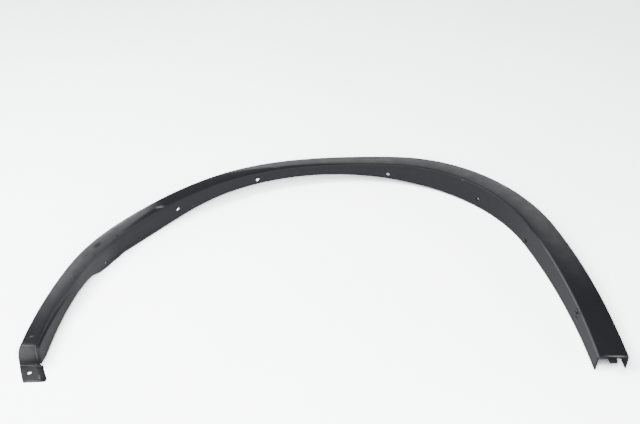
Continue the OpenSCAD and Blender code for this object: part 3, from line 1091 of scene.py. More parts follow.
def bake(obj: Body, modifier: bpy.types.Modifier) -> None:
    """Turn the evaluated object into its own plain mesh and drop the modifier."""
    graph = bpy.context.evaluated_depsgraph_get()
    mesh = bpy.data.meshes.new_from_object(obj.evaluated_get(graph))
    obj.modifiers.remove(modifier)
    obj.data = mesh
    mesh.name = obj.name


# ---------------------------------------------------------------- details


@dataclass
class Carrier:
    """Points that carry shapes, each with a turn, a size and a kind."""

    verts: list[Vector] = field(default_factory=list)
    turns: list[Triple] = field(default_factory=list)
    sizes: list[Triple] = field(default_factory=list)
    kinds: list[float] = field(default_factory=list)

    def add(self, at: Matrix, size: Triple, kind: float = 0.0) -> None:
        """Add one point with the turn of a matrix.

        Args:
            at: Place and turn, in metres.
            size: Size of the shape along its own axes.
            kind: Which of the shapes it carries.
        """
        self.verts.append(at.translation.copy())
        self.turns.append(tuple(at.to_euler()))
        self.sizes.append(size)
        self.kinds.append(kind)

    def object(self, name: str) -> Body:
        """Return the points as an object that holds their values by name."""
        obj = mesh_object(name, self.verts, [], scale=1.0)
        add_vectors(obj.data, "turn", self.turns)
        add_vectors(obj.data, "size", self.sizes)
        obj.data.attributes.new("kind", "FLOAT", "POINT").data.foreach_set("value", self.kinds)
        return obj


@dataclass(frozen=True)
class Hole:
    """A round hole through the flange.

    Attributes:
        s: Its place along the arch line.
        below: Depth of its middle below the face.
        diameter: Its diameter.
    """

    s: float
    below: float
    diameter: float


@dataclass
class Details:
    """Holes, boss, windows, tongue and the hidden ribs and clip seats, in millimetres.

    Attributes:
        shell: The shell that carries them.
        clips: Place along the arch and depth below the face of each clip hole.
        clip_d: Diameter of the clip holes.
        boss_back: Distance of the boss from the tail's end.
        boss_z: Depth of the boss and its bore below the face.
        boss_d: Diameter of the boss.
        boss_h: How far it stands off the flange.
        boss_bore_d: Diameter of its bore.
        boss_round: Rounding of its rims on a rod of 1 mm.
        slot: Place after the boss, length and height of the slot in the crease.
        slot_drop: Depth of the slot below the face.
        window: Place after the boss, length and height of the window.
        window_drop: Gap between the boss's lower side and the window.
        cut_round: Rounding of slot and window.
        tongue: Width, reach beyond the tail and thickness of the tongue.
        tongue_u: Distance of its middle from the crease.
        tongue_drop: Depth of its upper side below the face.
        tongue_root: Length of its root inside the tail.
        tongue_round: Rounding of the tongue and of its root.
        rib_pitch: Distance between cross ribs.
        rib_t: Thickness of a rib.
        rib_h: Depth of a cross rib under the wall.
        rib_sunk: Shares of the wall above a rib's top and below it.
        rib_gap: Least gap between a rib and a hole or seat.
        end_rib_h: Depth of the rib at the tail's end.
        rib_bow: Share of its depth that a rib loses towards its ends.
        seat: Width, length and depth of a clip seat.
        seat_wall: Its wall.
        seat_slot: Width of the slot in its floor.
        seat_share: Share of the face's width at which it stands.
        seat_round: Rounding of its outside, and of its hollow and slot.
        screw_d: Diameter of the screw hole.
        dimple: Diameter and depth of the dimple round it.
        rim: What the tab's front rim lacks of the tab's width and height.
        rim_round: Rounding of that rim.
        reach: How far drills and cutters reach past what they cut.
        drill_more: How much further the flange's drills reach on its wheel side.
        screw_reach: How far the screw hole's drill reaches past the tab.
    """

    shell: Shell
    clips: tuple[Pair, ...] = (
        (239.5, 36.4),
        (415.5, 19.8),
        (584.0, 15.4),
        (842.0, 22.4),
        (1028.5, 29.3),
        (1167.5, 33.6),
    )
    clip_d: float = 7.0
    boss_back: float = 105.2
    boss_z: float = 9.6
    boss_d: float = 9.0
    boss_h: float = 1.6
    boss_bore_d: float = 4.2
    boss_round: float = 0.0175
    slot: Triple = (8.4, 15.0, 3.2)
    slot_drop: float = 1.0
    window: Triple = (8.2, 11.0, 4.6)
    window_drop: float = 1.0
    cut_round: float = 0.5
    tongue: Triple = (12.0, 5.5, 4.4)
    tongue_u: float = 24.4
    tongue_drop: float = 5.4
    tongue_root: float = 12.0
    tongue_round: Pair = (0.6, 0.4)
    rib_pitch: float = 62.0
    rib_t: float = 1.8
    rib_h: float = 6.0
    rib_sunk: Pair = (0.45, 0.55)
    rib_gap: float = 5.0
    end_rib_h: float = 2.7
    rib_bow: float = 0.35
    seat: Triple = (12.0, 16.0, 9.0)
    seat_wall: float = 2.0
    seat_slot: float = 5.0
    seat_share: float = 0.52
    seat_round: Pair = (0.5, 0.4)
    screw_d: float = 7.5
    dimple: Pair = (13.0, 0.8)
    rim: Pair = (1.6, 0.9)
    rim_round: float = 0.5
    reach: float = 3.0
    drill_more: float = 1.0
    screw_reach: float = 2.0

    @property
    def clip_holes(self) -> list[Hole]:
        """The six clip holes of the flange."""
        return [Hole(s, below, self.clip_d) for s, below in self.clips]

    @property
    def boss_s(self) -> float:
        """Place of the boss along the arch line."""
        return self.shell.line.length - self.boss_back

    def seat_places(self) -> list[float]:
        """Return the places of the clip seats, midway between neighbouring holes."""
        at = [h.s for h in self.clip_holes] + [self.boss_s]
        return [(a + b) / 2 for a, b in zip(at, at[1:])]

    def rib_places(self) -> list[float]:
        """Return the places of the cross ribs, clear of holes and seats."""
        busy = [h.s for h in self.clip_holes] + [self.boss_s] + self.seat_places()
        clear, first = self.seat[1] / 2 + self.rib_t + self.rib_gap, self.rib_pitch / 2
        count = int((self.shell.line.length - first * 1.5) // self.rib_pitch) + 1
        ribs = [first + i * self.rib_pitch for i in range(count)]
        return [s for s in ribs if min(abs(s - b) for b in busy) > clear]

    def place_points(self) -> Body:
        """Make the points that carry ribs and seats, with their turns, sizes and kinds."""
        shell, points = self.shell, Carrier()
        wall, end = shell.channel.wall, shell.line.length - self.rib_t / 2
        above, below = (wall * share for share in self.rib_sunk)
        for s, depth in [(r, self.rib_h) for r in self.rib_places()] + [(end, self.end_rib_h)]:
            near, far = shell.ledge(s) + wall / 2, shell.width(s) - wall / 2
            tilt = math.atan2(shell.fall(s), shell.width(s) - near)
            top = shell.face_z(s) - above - shell.fall(s) / 2
            at = standing(shell.line.place(s), (near + far) / 2, top, 0.0, tilt)
            points.add(at, (far - near, self.rib_t, depth + below))
        for s in self.seat_places():
            width, share = shell.width(s), self.seat_share
            tilt = math.atan2(2 * shell.fall(s) * share, width)
            at = standing(shell.line.place(s), width * share, shell.under_z(s, share), 0.0, tilt)
            points.add(at, (1.0, 1.0, 1.0), 1.0)
        return points.object("rib_and_seat_places")

    def rib_shape(self) -> Body:
        """Make one rib of unit size in millimetres, its lower side bowed, its top at height 0."""
        steps = 8
        shares = [2 * i / steps - 1 for i in range(steps + 1)]
        low = [Vector((share / 2, 0, -1 + self.rib_bow * share**2)) for share in shares]
        rim = [Vector((-0.5, 0, 0)), *low, Vector((0.5, 0, 0))]
        half, n = Vector((0, 0.5, 0)), len(rim)
        verts = [p - half for p in rim] + [p + half for p in rim]
        faces = [tuple(range(n)), tuple(range(2 * n - 1, n - 1, -1))]
        faces += [(i, i + n, (i + 1) % n + n, (i + 1) % n) for i in range(n)]
        obj = mesh_object("rib_shape", verts, faces)
        self.point_outwards(obj)
        return obj

    def seat_shape(self) -> Body:
        """Make one clip seat: a rounded box whose floor has a slot open to one side."""
        (w, length, h), wall = self.seat, self.seat_wall
        outside, inside = self.seat_round
        box = bevelled_block("seat_shape", (w, length, h), outside)
        hollow = bevelled_block("seat_hollow", (w - 2 * wall, length, h - 2 * wall), inside)
        slot = bevelled_block("seat_slot", (self.seat_slot, length, wall * 3), inside)
        for cutter, at in ((hollow, (0, wall, 0)), (slot, (0, wall * 2, -h / 2))):
            cutter.data.transform(Matrix.Translation(Vector(at) * MM))
            cut = box.modifiers.new("cut", "BOOLEAN")
            cut.operation, cut.solver, cut.object = "DIFFERENCE", "EXACT", cutter
            bake(box, cut)
            bpy.data.objects.remove(cutter)
        box.data.transform(Matrix.Translation((0, 0, -h / 2 * MM)))
        return box

    @staticmethod
    def point_outwards(obj: Body) -> None:
        """Make the faces of a mesh point outwards."""
        bm = bmesh.new()
        bm.from_mesh(obj.data)
        bmesh.ops.recalc_face_normals(bm, faces=bm.faces[:])
        bm.to_mesh(obj.data)
        bm.free()

    def blocks(self) -> Body:
        """Make the tongue, its root, the boss and the tab's front rim as one mesh."""
        return self.merged("blocks", [*self.tongue_parts(), self.boss(), self.tab_rim()])

    def tongue_parts(self) -> list[Body]:
        """Make the tongue and the root that joins it to the face."""
        shell, root = self.shell, self.tongue_root
        (w, reach, t), end = self.tongue, shell.line.place(shell.line.length)
        top = shell.channel.face_z[-1] - self.tongue_drop
        plate = bevelled_block("tongue", (w, root + reach, t), self.tongue_round[0])
        plate.data.transform(standing(end, self.tongue_u, top - t / 2, (reach - root) / 2))
        high, back = t + self.tongue_drop - shell.channel.wall / 2, (root + self.rib_t / 2) / 2
        size = (w, root - self.rib_t / 2, high)
        stem = bevelled_block("tongue_root", size, self.tongue_round[1])
        stem.data.transform(standing(end, self.tongue_u, top - t + high / 2, -back))
        return [plate, stem]

    def boss(self) -> Body:
        """Make the raised ring of the flange, still without its bore."""
        shell, s = self.shell, self.boss_s
        depth = self.boss_h + shell.channel.wall
        rod = self.drill("boss", self.boss_round)
        rod.data.transform(Matrix.Diagonal((self.boss_d, self.boss_d, depth, 1)))
        out = (depth / 2) - self.boss_h - shell.channel.flange_lean / 2
        at = standing(shell.line.place(s), out, shell.face_z(s) - self.boss_z)
        rod.data.transform(at @ ACROSS)
        return rod

    def tab_rim(self) -> Body:
        """Make the rim along the tab's front."""
        shell, f, wall = self.shell, self.shell.foot, self.shell.channel.wall
        high = f.tab_z - self.rim[1]
        rim = bevelled_block("tab_rim", (f.width - self.rim[0], wall, high), self.rim_round)
        side = shell.foot_side(f.reach, 1) + f.width / 2
        tip = shell.line.before(f.reach, f.front_turn)
        rim.data.transform(standing(tip, side, high / 2, wall / 2))
        return rim

    @staticmethod
    def merged(name: str, parts: list[Body]) -> Body:
        """Gather several objects' meshes into one object and remove them."""
        bm = bmesh.new()
        for part in parts:
            bm.from_mesh(part.data)
            bpy.data.objects.remove(part)
        bmesh.ops.recalc_face_normals(bm, faces=bm.faces[:])
        return from_edit(name, bm)

    @staticmethod
    def drill(name: str, round_by: float = 0.0) -> Body:
        """Make an upright rod of 1 mm diameter and 1 mm height, its rims rounded if wanted."""
        bm = bmesh.new()
        radius = 0.5 * MM
        bmesh.ops.create_cone(
            bm, cap_ends=True, segments=ROD_SIDES, radius1=radius, radius2=radius, depth=MM
        )
        if round_by:
            rims = [e for e in bm.edges if abs(e.verts[0].co.z - e.verts[1].co.z) < 1e-9]
            soften(bm, rims, round_by)
        return from_edit(name, bm)

    def hole_points(self) -> Body:
        """Make the points of the round holes, with their turns and sizes."""
        shell, points = self.shell, Carrier()
        wall, tab_z, more = shell.channel.wall, shell.foot.tab_z, self.drill_more
        for hole in [*self.clip_holes, Hole(self.boss_s, self.boss_z, self.boss_bore_d)]:
            height = shell.face_z(hole.s) - hole.below
            at = standing(shell.line.place(hole.s), (wall - more) / 2, height) @ ACROSS
            points.add(at, (hole.diameter, hole.diameter, wall + 2 * self.reach + more))
        at = Matrix.Translation(self.screw_spot(tab_z / 2) * MM)
        points.add(at, (self.screw_d, self.screw_d, tab_z + 2 * self.screw_reach))
        return points.object("hole_places")

    def screw_spot(self, height: float) -> Vector:
        """Return the middle of the screw hole at a height."""
        shell, f = self.shell, self.shell.foot
        here = shell.line.before(f.screw_q, f.front_turn * shell.tab_share(f.screw_q))
        return here.point(shell.foot_side(f.screw_q, 1) + f.width / 2 + f.screw_out, height)

    def windows(self) -> Body:
        """Make the cutters of the slot in the crease, the window and the screw's dimple."""
        shell, channel, past = self.shell, self.shell.channel, self.reach
        slot_s, window_s = self.boss_s + self.slot[0], self.boss_s + self.window[0]
        slot_top = shell.face_z(slot_s) - self.slot_drop
        window_top = shell.face_z(window_s) - self.boss_z - self.boss_d / 2 - self.window_drop
        made = []
        for name, s, top, end, (_, length, height) in (
            ("slot", slot_s, slot_top, channel.crease_r + self.slot_drop / 2, self.slot),
            ("window", window_s, window_top, channel.wall + past, self.window),
        ):
            block = bevelled_block(name, (end + past, length, height), self.cut_round)
            at = standing(shell.line.place(s), (end - past) / 2, top - height / 2)
            block.data.transform(at)
            made.append(block)
        (wide, deep), high = self.dimple, 4.0
        rod = self.drill("dimple")
        rod.data.transform(Matrix.Diagonal((wide, wide, high, 1.0)))
        spot = self.screw_spot(shell.foot.tab_z - deep + high / 2)
        rod.data.transform(Matrix.Translation(spot * MM))
        return self.merged("windows", [*made, rod])


# ---------------------------------------------------------------- finishes


@dataclass(frozen=True)
class SurfaceSpot:
    """A place on the moulding that is scuffed or dusty, or painted lighter or darker for light and shade.

    Attributes:
        centre: Middle of the place, in metres.
        radii: Half sizes along its own axes, in metres.
        turn: Turn of its axes about Z, in degrees.
        strength: How strongly it shows.
        broken: How far it is broken up into specks.
    """

    centre: Triple
    radii: Triple
    turn: float
    strength: float
    broken: float = 1.0


class Shading(Nodes):
    """A material's node tree."""

    def __init__(self, name: str, kind: str = "ShaderNodeBsdfPrincipled") -> None:
        """Start a material.

        Args:
            name: Name of the material.
            kind: Its shader's node type.
        """
        self.material = bpy.data.materials.new(name)
        self.material.use_nodes = True
        super().__init__(self.material.node_tree)
        self.tree.nodes.clear()
        self.shader = self.node(kind)
        self.link(self.shader.outputs[0], self.node("ShaderNodeOutputMaterial").inputs["Surface"])
        self.coords = self.node("ShaderNodeTexCoord").outputs["Object"]

    def noise(self, scale: float, detail: float, rough: float) -> Socket:
        """Return the factor of a noise on object coordinates."""
        made = self.node("ShaderNodeTexNoise")
        for name, value in (("Scale", scale), ("Detail", detail), ("Roughness", rough)):
            made.inputs[name].default_value = value
        self.link(self.coords, made.inputs["Vector"])
        return made.outputs["Fac"]

    def steps(
        self, value: object, low: float, high: float, to_low: float = 0.0, to_high: float = 1.0
    ) -> Socket:
        """Return a value carried smoothly from one range to another.

        Args:
            value: The value.
            low: Value that gives to_low, as all below it do.
            high: Value that gives to_high, as all above it do.
            to_low: Result at low.
            to_high: Result at high.

        Returns:
            The result.
        """
        made = self.node("ShaderNodeMapRange", interpolation_type="SMOOTHSTEP")
        self.link(value, made.inputs["Value"])
        names = ("From Min", "From Max", "To Min", "To Max")
        for name, number in zip(names, (low, high, to_low, to_high)):
            made.inputs[name].default_value = number
        return made.outputs["Result"]

    def blend(self, share: object, a: object, b: object) -> Socket:
        """Return colour a blended to colour b by a share."""
        made = self.node("ShaderNodeMix", data_type="RGBA")
        for name, value in (("Factor", share), ("A", a), ("B", b)):
            self.put(value, made.inputs[name])
        return made.outputs["Result"]

    def attribute(self, name: str) -> Socket:
        """Return the value that the mesh holds under a name."""
        made = self.node("ShaderNodeAttribute")
        made.attribute_name = name
        return made.outputs["Fac"]

    def bump(
        self, height: object, strength: float, distance: float, under: object = None
    ) -> Socket:
        """Return the normal that a height gives.

        Args:
            height: The height, from 0 to 1.
            strength: Share of the effect.
            distance: Size of a height of 1, in metres.
            under: Normal on top of which it lies, if there is one.

        Returns:
            The normal.
        """
        made = self.node("ShaderNodeBump")
        made.inputs["Strength"].default_value = strength
        made.inputs["Distance"].default_value = distance
        self.link(height, made.inputs["Height"])
        if under is not None:
            self.link(under, made.inputs["Normal"])
        return made.outputs[0]

    def spot(self, place: SurfaceSpot) -> Socket:
        """Return a soft mask round a place, 1 at its middle and 0 at its radii."""
        mapping = self.node("ShaderNodeMapping", vector_type="TEXTURE")
        mapping.inputs["Location"].default_value = place.centre
        mapping.inputs["Rotation"].default_value = (0, 0, math.radians(place.turn))
        mapping.inputs["Scale"].default_value = place.radii
        self.link(self.coords, mapping.inputs["Vector"])
        length = self.node("ShaderNodeVectorMath", operation="LENGTH")
        self.link(mapping.outputs[0], length.inputs[0])
        return self.steps(length.outputs["Value"], 0.35, 1.0, 1.0, 0.0)


@dataclass(frozen=True)
class Front:
    """A line that runs slanting over the face and bounds a stretch of painted sheen.

    Attributes:
        at: Share of the arch at which the line is at its place.
        place: Share of the face's width there.
        slant: How fast it moves in across the face, in widths for the whole arch.
        soft: Half the width over which it fades, as a share of the face's width.
        side: 1 if the painted sheen lies outward of the line, -1 if it lies inward.
    """

    at: float
    place: float
    slant: float
    soft: float = 0.1
    side: float = 1.0


@dataclass(frozen=True)
class SheenHaze:
    """A stretch of the face painted lighter, a greyed film that also paints the bright room's reflection, fading in
    and out along the arch.

    Attributes:
        along: Shares of the arch at which it starts, is full, is still full and ends.
        strength: Share of the lighter colour in it at the face's outer edge.
        fronts: Lines outside which it shows.
    """

    along: tuple[float, float, float, float]
    strength: float
    fronts: tuple[Front, ...] = ()


@dataclass(frozen=True)
class SatinPlastic:
    """Satin black moulded plastic with a fine grain, thin dust and some scuffing, with painted reflections, highlights
    and shade in its colour.

    Attributes:
        base: Colour of the clean plastic.
        dust_and_sheen_grey: Colour of dust and of the painted sheen.
        scuff_and_glint_colour: Colour of bare scuffing and of painted glints on lit edges.
        roughness: Least roughness.
        cloudy: What broad clouds add to the roughness.
        dulled: What full dust and painted sheen, and full scuffing and painted glints, add to it.
        specular: Specular level.
        film: Share of dust everywhere.
        clouds: Share that the thicker dust adds in clouds.
        specks: Share that single specks add.
        grain_size: Width of a grain, in metres.
        grain_depth: Its depth, in metres.
        waves_depth: Depth of the broad waves of the surface, in metres.
        sheen_hazes: Stretches of the face painted lighter as greyed film and reflection, and a painted highlight at
            the crease.
        painted_light_and_dust: Dusty places, and places painted lighter or darker for light and shade.
        scuffs_and_glints: Scuffed places, and painted highlights on lit edges.
    """

    base: Colour = (0.0345, 0.035, 0.041, 1.0)
    dust_and_sheen_grey: Colour = (0.488, 0.493, 0.502, 1.0)
    scuff_and_glint_colour: Colour = (0.55, 0.55, 0.54, 1.0)
    roughness: float = 0.27
    cloudy: float = 0.06
    dulled: Pair = (0.3, 0.35)
    specular: float = 0.5
    film: float = 0.024
    clouds: float = 0.012
    specks: float = 0.05
    grain_size: float = 0.0011
    grain_depth: float = 0.00005
    waves_depth: float = 0.0006
    sheen_hazes: tuple[SheenHaze, ...] = ()
    painted_light_and_dust: tuple[SurfaceSpot, ...] = ()
    scuffs_and_glints: tuple[SurfaceSpot, ...] = ()

    def sheen_haze(self, s: Shading) -> Socket:
        """Return how far each place is painted lighter by sheen, dust and painted light, from its share of the arch
        and of the face's width.
        """
        arch, across, up = (s.attribute(name) for name in ("arch", "across", "up"))
        whole: object = 0.0
        for sheen_haze in self.sheen_hazes:
            a, b, c, d = sheen_haze.along
            mask = s.product(s.steps(arch, a, b), s.steps(arch, c, d, 1.0, 0.0))
            for front in sheen_haze.fronts:
                moved = s.product(s.maths("SUBTRACT", arch, front.at), front.slant)
                moved = s.product(s.total(across, moved), front.side)
                middle = front.place * front.side
                mask = s.product(mask, s.steps(moved, middle - front.soft, middle + front.soft))
            whole = s.total(whole, s.product(mask, sheen_haze.strength))
        # the painted sheen grows towards the face's outer edge and stays off what faces sideways, as the room's
        # reflection does
        whole = s.product(whole, s.steps(across, -0.5, 0.9), s.steps(up, 0.15, 0.75))
        # dust and painted light add here, and painted shade takes away
        for dust_and_light_patch in self.painted_light_and_dust:
            whole = s.total(whole, s.product(s.spot(dust_and_light_patch), dust_and_light_patch.strength))
        return whole

    def scuffing_and_glint(self, s: Shading) -> Socket:
        """Return how much scuffing and painted glint each place takes."""
        most: object = 0.0
        gaps = s.steps(s.noise(420.0, 3.0, 0.65), 0.36, 0.62, 1.0, 0.0)
        for scuff_and_glint in self.scuffs_and_glints:
            kept = s.maths("SUBTRACT", 1.0, s.product(gaps, scuff_and_glint.broken))
            most = s.maths("MAXIMUM", most, s.product(s.spot(scuff_and_glint), scuff_and_glint.strength, kept))
        return most

    def grain(self, s: Shading) -> Socket:
        """Return the normal of the moulded grain on the surface's broad waves."""
        cells = s.node("ShaderNodeTexVoronoi", feature="SMOOTH_F1")
        cells.inputs["Scale"].default_value = 1.0 / self.grain_size
        cells.inputs["Smoothness"].default_value = 0.8
        s.link(s.coords, cells.inputs["Vector"])
        height = s.total(cells.outputs["Distance"], s.product(s.noise(2400.0, 2.0, 0.5), 0.5))
        texture = s.bump(height, 0.35, self.grain_depth)
        return s.bump(s.noise(14.0, 2.0, 0.4), 0.5, self.waves_depth, texture)

    def material(self) -> bpy.types.Material:
        """Build the material."""
        s = Shading("satin_black_plastic")
        broad, cloud = s.noise(9.0, 3.0, 0.55), s.noise(48.0, 4.0, 0.6)
        speck = s.steps(s.noise(620.0, 2.0, 0.5), 0.70, 0.78)
        sheen_haze = s.product(self.sheen_haze(s), s.steps(cloud, 0.15, 0.85, 0.75, 1.25))
        dust = s.total(s.product(s.steps(cloud, 0.5, 0.85), self.clouds), self.film)
        dust = s.total(dust, s.product(speck, broad, self.specks))
        dust_and_sheen, scuffing_and_glint = s.maths("ADD", sheen_haze, dust, clamp=True), self.scuffing_and_glint(s)
        rough = s.total(
            s.product(broad, self.cloudy), self.roughness, s.product(dust_and_sheen, self.dulled[0])
        )
        rough = s.maths("ADD", rough, s.product(scuffing_and_glint, self.dulled[1]), clamp=True)
        # colour: clean plastic, lightened by dust and painted sheen, then by scuffing and painted glints
        colour = s.blend(scuffing_and_glint, s.blend(dust_and_sheen, self.base, self.dust_and_sheen_grey), self.scuff_and_glint_colour)
        for name, value in (
            ("Base Color", colour),
            ("Roughness", rough),
            ("IOR", 1.5),
            ("Specular IOR Level", self.specular),
            ("Normal", self.grain(s)),
        ):
            s.put(value, s.shader.inputs[name])
        return s.material


@dataclass(frozen=True)
class PaleFloor:
    """Plain pale studio floor, overexposed to the eye as a white backdrop is.

    Attributes:
        light: Lighter of its two colours.
        shade: Darker of them.
        exposure: How much brighter than it lights the floor and room are seen, less 1.
        reach: How far round a place the moulding may close the floor in, in metres.
        closed: Openness at which none and all of the exposure shows, which paints the closed-in floor darker as shade.
    """

    light: Colour = (0.91, 0.93, 0.94, 1.0)
    shade: Colour = (0.87, 0.895, 0.91, 1.0)
    exposure: float = 10.5
    reach: float = 0.08
    closed: Pair = (0.05, 0.36)

    def material(self) -> bpy.types.Material:
        """Build the material; where the moulding closes the floor in, it is painted darker as shade."""
        s = Shading("pale_floor", "ShaderNodeBsdfDiffuse")
        colour = s.blend(s.steps(s.noise(2.2, 3.0, 0.5), 0.35, 0.7), self.light, self.shade)
        # painted shade: ambient occlusion takes the camera's exposure away where the moulding closes the floor in
        painted_shade_ao = s.node("ShaderNodeAmbientOcclusion", samples=16)
        painted_shade_ao.inputs["Distance"].default_value = self.reach
        gain = s.seen_gain(self.exposure, s.steps(painted_shade_ao.outputs["AO"], *self.closed))
        lit = s.node("ShaderNodeVectorMath", operation="SCALE")
        s.link(colour, lit.inputs[0])
        s.link(gain, lit.inputs["Scale"])
        s.link(lit.outputs[0], s.shader.inputs["Color"])
        return s.material


# ---------------------------------------------------------------- the moulding


@dataclass
class Moulding:
    """The whole moulding, made by the loft tree as one mesh."""

    shell: Shell = field(default_factory=Shell)
    finish: SatinPlastic = field(default_factory=SatinPlastic)

    def net(self, rings: int, points: int) -> Body:
        """Make the closed net that the tree lofts, all its corners at the origin.

        Args:
            rings: Number of rings.
            points: Number of section points in a ring.

        Returns:
            The net as an object named for the finished piece.
        """
        faces: list[tuple[int, ...]] = []
        for i in range(rings - 1):
            for j in range(points):
                a, b = i * points + j, i * points + (j + 1) % points
                faces.append((a, a + points, b + points, b))
        half = points // 2
        for start, flip in ((0, True), ((rings - 1) * points, False)):
            for j in range(half - 1):
                a, b = start + j, start + j + 1
                c, d = start + points - 2 - j, start + points - 1 - j
                faces.append((a, b, c, d) if flip else (a, d, c, b))
        return mesh_object("moulding_shell", [Vector((0, 0, 0))] * (rings * points), faces)

    def build(self) -> Body:
        """Build the moulding and return it as one plain mesh object."""
        rings = self.shell.rings()
        template = section_template()
        details = Details(self.shell)
        keys = mesh_object("key_points", [p for ring in rings for p in ring], [])
        section = mesh_object("section_points", [Vector((0, 0, 0))] * len(template), [])
        add_vectors(section.data, "pick", [row[0] for row in template])
        add_vectors(section.data, "share", [row[1] for row in template])
        helpers = {
            "Key points": keys,
            "Section": section,
            "Places": details.place_points(),
            "Rib": details.rib_shape(),
            "Seat": details.seat_shape(),
            "Blocks": details.blocks(),
            "Holes": details.hole_points(),
            "Drill": details.drill("drill"),
            "Cutters": details.windows(),
        }
        obj = self.net(len(rings), len(template))
        group, ids = loft_tree()
        modifier = obj.modifiers.new("loft", "NODES")
        modifier.node_group = group
        for name, helper in helpers.items():
            modifier[ids[name]] = helper
        modifier[ids["Points in a ring"]] = len(template)
        modifier[ids["Finish"]] = self.finish.material()
        bake(obj, modifier)
        for helper in helpers.values():
            bpy.data.objects.remove(helper)
        self.fit(obj)
        self.tidy(obj)
        self.mark(obj)
        return obj

    def mark(self, obj: Body) -> None:
        """Store on each corner its share of the arch, of the face's width and of facing up."""
        line, steps = self.shell.line, 600
        stops = [line.length * i / steps for i in range(steps + 1)]
        places, widths = [line.place(s) for s in stops], [self.shell.width(s) for s in stops]
        tree = KDTree(len(stops))
        for i, (place, width) in enumerate(zip(places, widths)):
            tree.insert(place.point(width / 2, 0.0) * MM, i)
        tree.balance()
        mesh = obj.data
        values: dict[str, list[float]] = {"arch": [], "across": [], "up": []}
        for corner, normal in zip(mesh.vertices, mesh.vertex_normals):
            _, i, _ = tree.find((corner.co.x, corner.co.y, 0.0))
            start = places[i].point(0.0, 0.0)
            out = (corner.co / MM - start).dot(places[i].point(1.0, 0.0) - start)
            values["arch"].append(i / steps)
            values["across"].append(out / widths[i])
            values["up"].append(max(0.0, normal.vector.z))
        for name, numbers in values.items():
            mesh.attributes.new(name, "FLOAT", "POINT").data.foreach_set("value", numbers)

    @staticmethod
    def fit(obj: Body) -> None:
        """Shrink the mesh into the part's box, which it passes by hundredths of a millimetre."""
        low, high = (Vector(corner) for corner in CAD_BOX)
        middle = Vector(((low.x + high.x) / 2, (low.y + high.y) / 2, low.z))
        corners = obj.data.vertices
        for axis in range(3):
            top = max(v.co[axis] for v in corners) - middle[axis]
            bottom = middle[axis] - min(v.co[axis] for v in corners)
            share = min(1.0, (high[axis] - middle[axis]) / top)
            if bottom > MM:
                share = min(share, (middle[axis] - low[axis]) / bottom)
            for v in corners:
                v.co[axis] = middle[axis] + (v.co[axis] - middle[axis]) * share
        obj.data.update()

    @staticmethod
    def tidy(obj: Body) -> None:
        """Shade smooth with sharp edges kept."""
        bm = bmesh.new()
        bm.from_mesh(obj.data)
        for face in bm.faces:
            face.smooth = True
        for edge in bm.edges:
            edge.smooth = not (edge.is_manifold and edge.calc_face_angle(0.0) > math.radians(32))
        open_edges = sum(1 for e in bm.edges if not e.is_manifold)
        LOG.info("%s: %d faces, %d open edges", obj.name, len(bm.faces), open_edges)
        bm.to_mesh(obj.data)
        bm.free()


# ---------------------------------------------------------------- studio


@dataclass(frozen=True)
class Glow:
    """A soft glow of the surroundings.

    Attributes:
        azimuth: Its direction in degrees, 0 behind the moulding and 90 to its right.
        elevation: Its height in degrees.
        strength: Its brightness.
        focus: How fast it fades off its middle.
    """

    azimuth: float
    elevation: float
    strength: float
    focus: float = 30.0

    @property
    def direction(self) -> Triple:
        """Unit vector towards the glow."""
        flat = cos_deg(self.elevation)
        return (flat * sin_deg(self.azimuth), flat * cos_deg(self.azimuth), sin_deg(self.elevation))


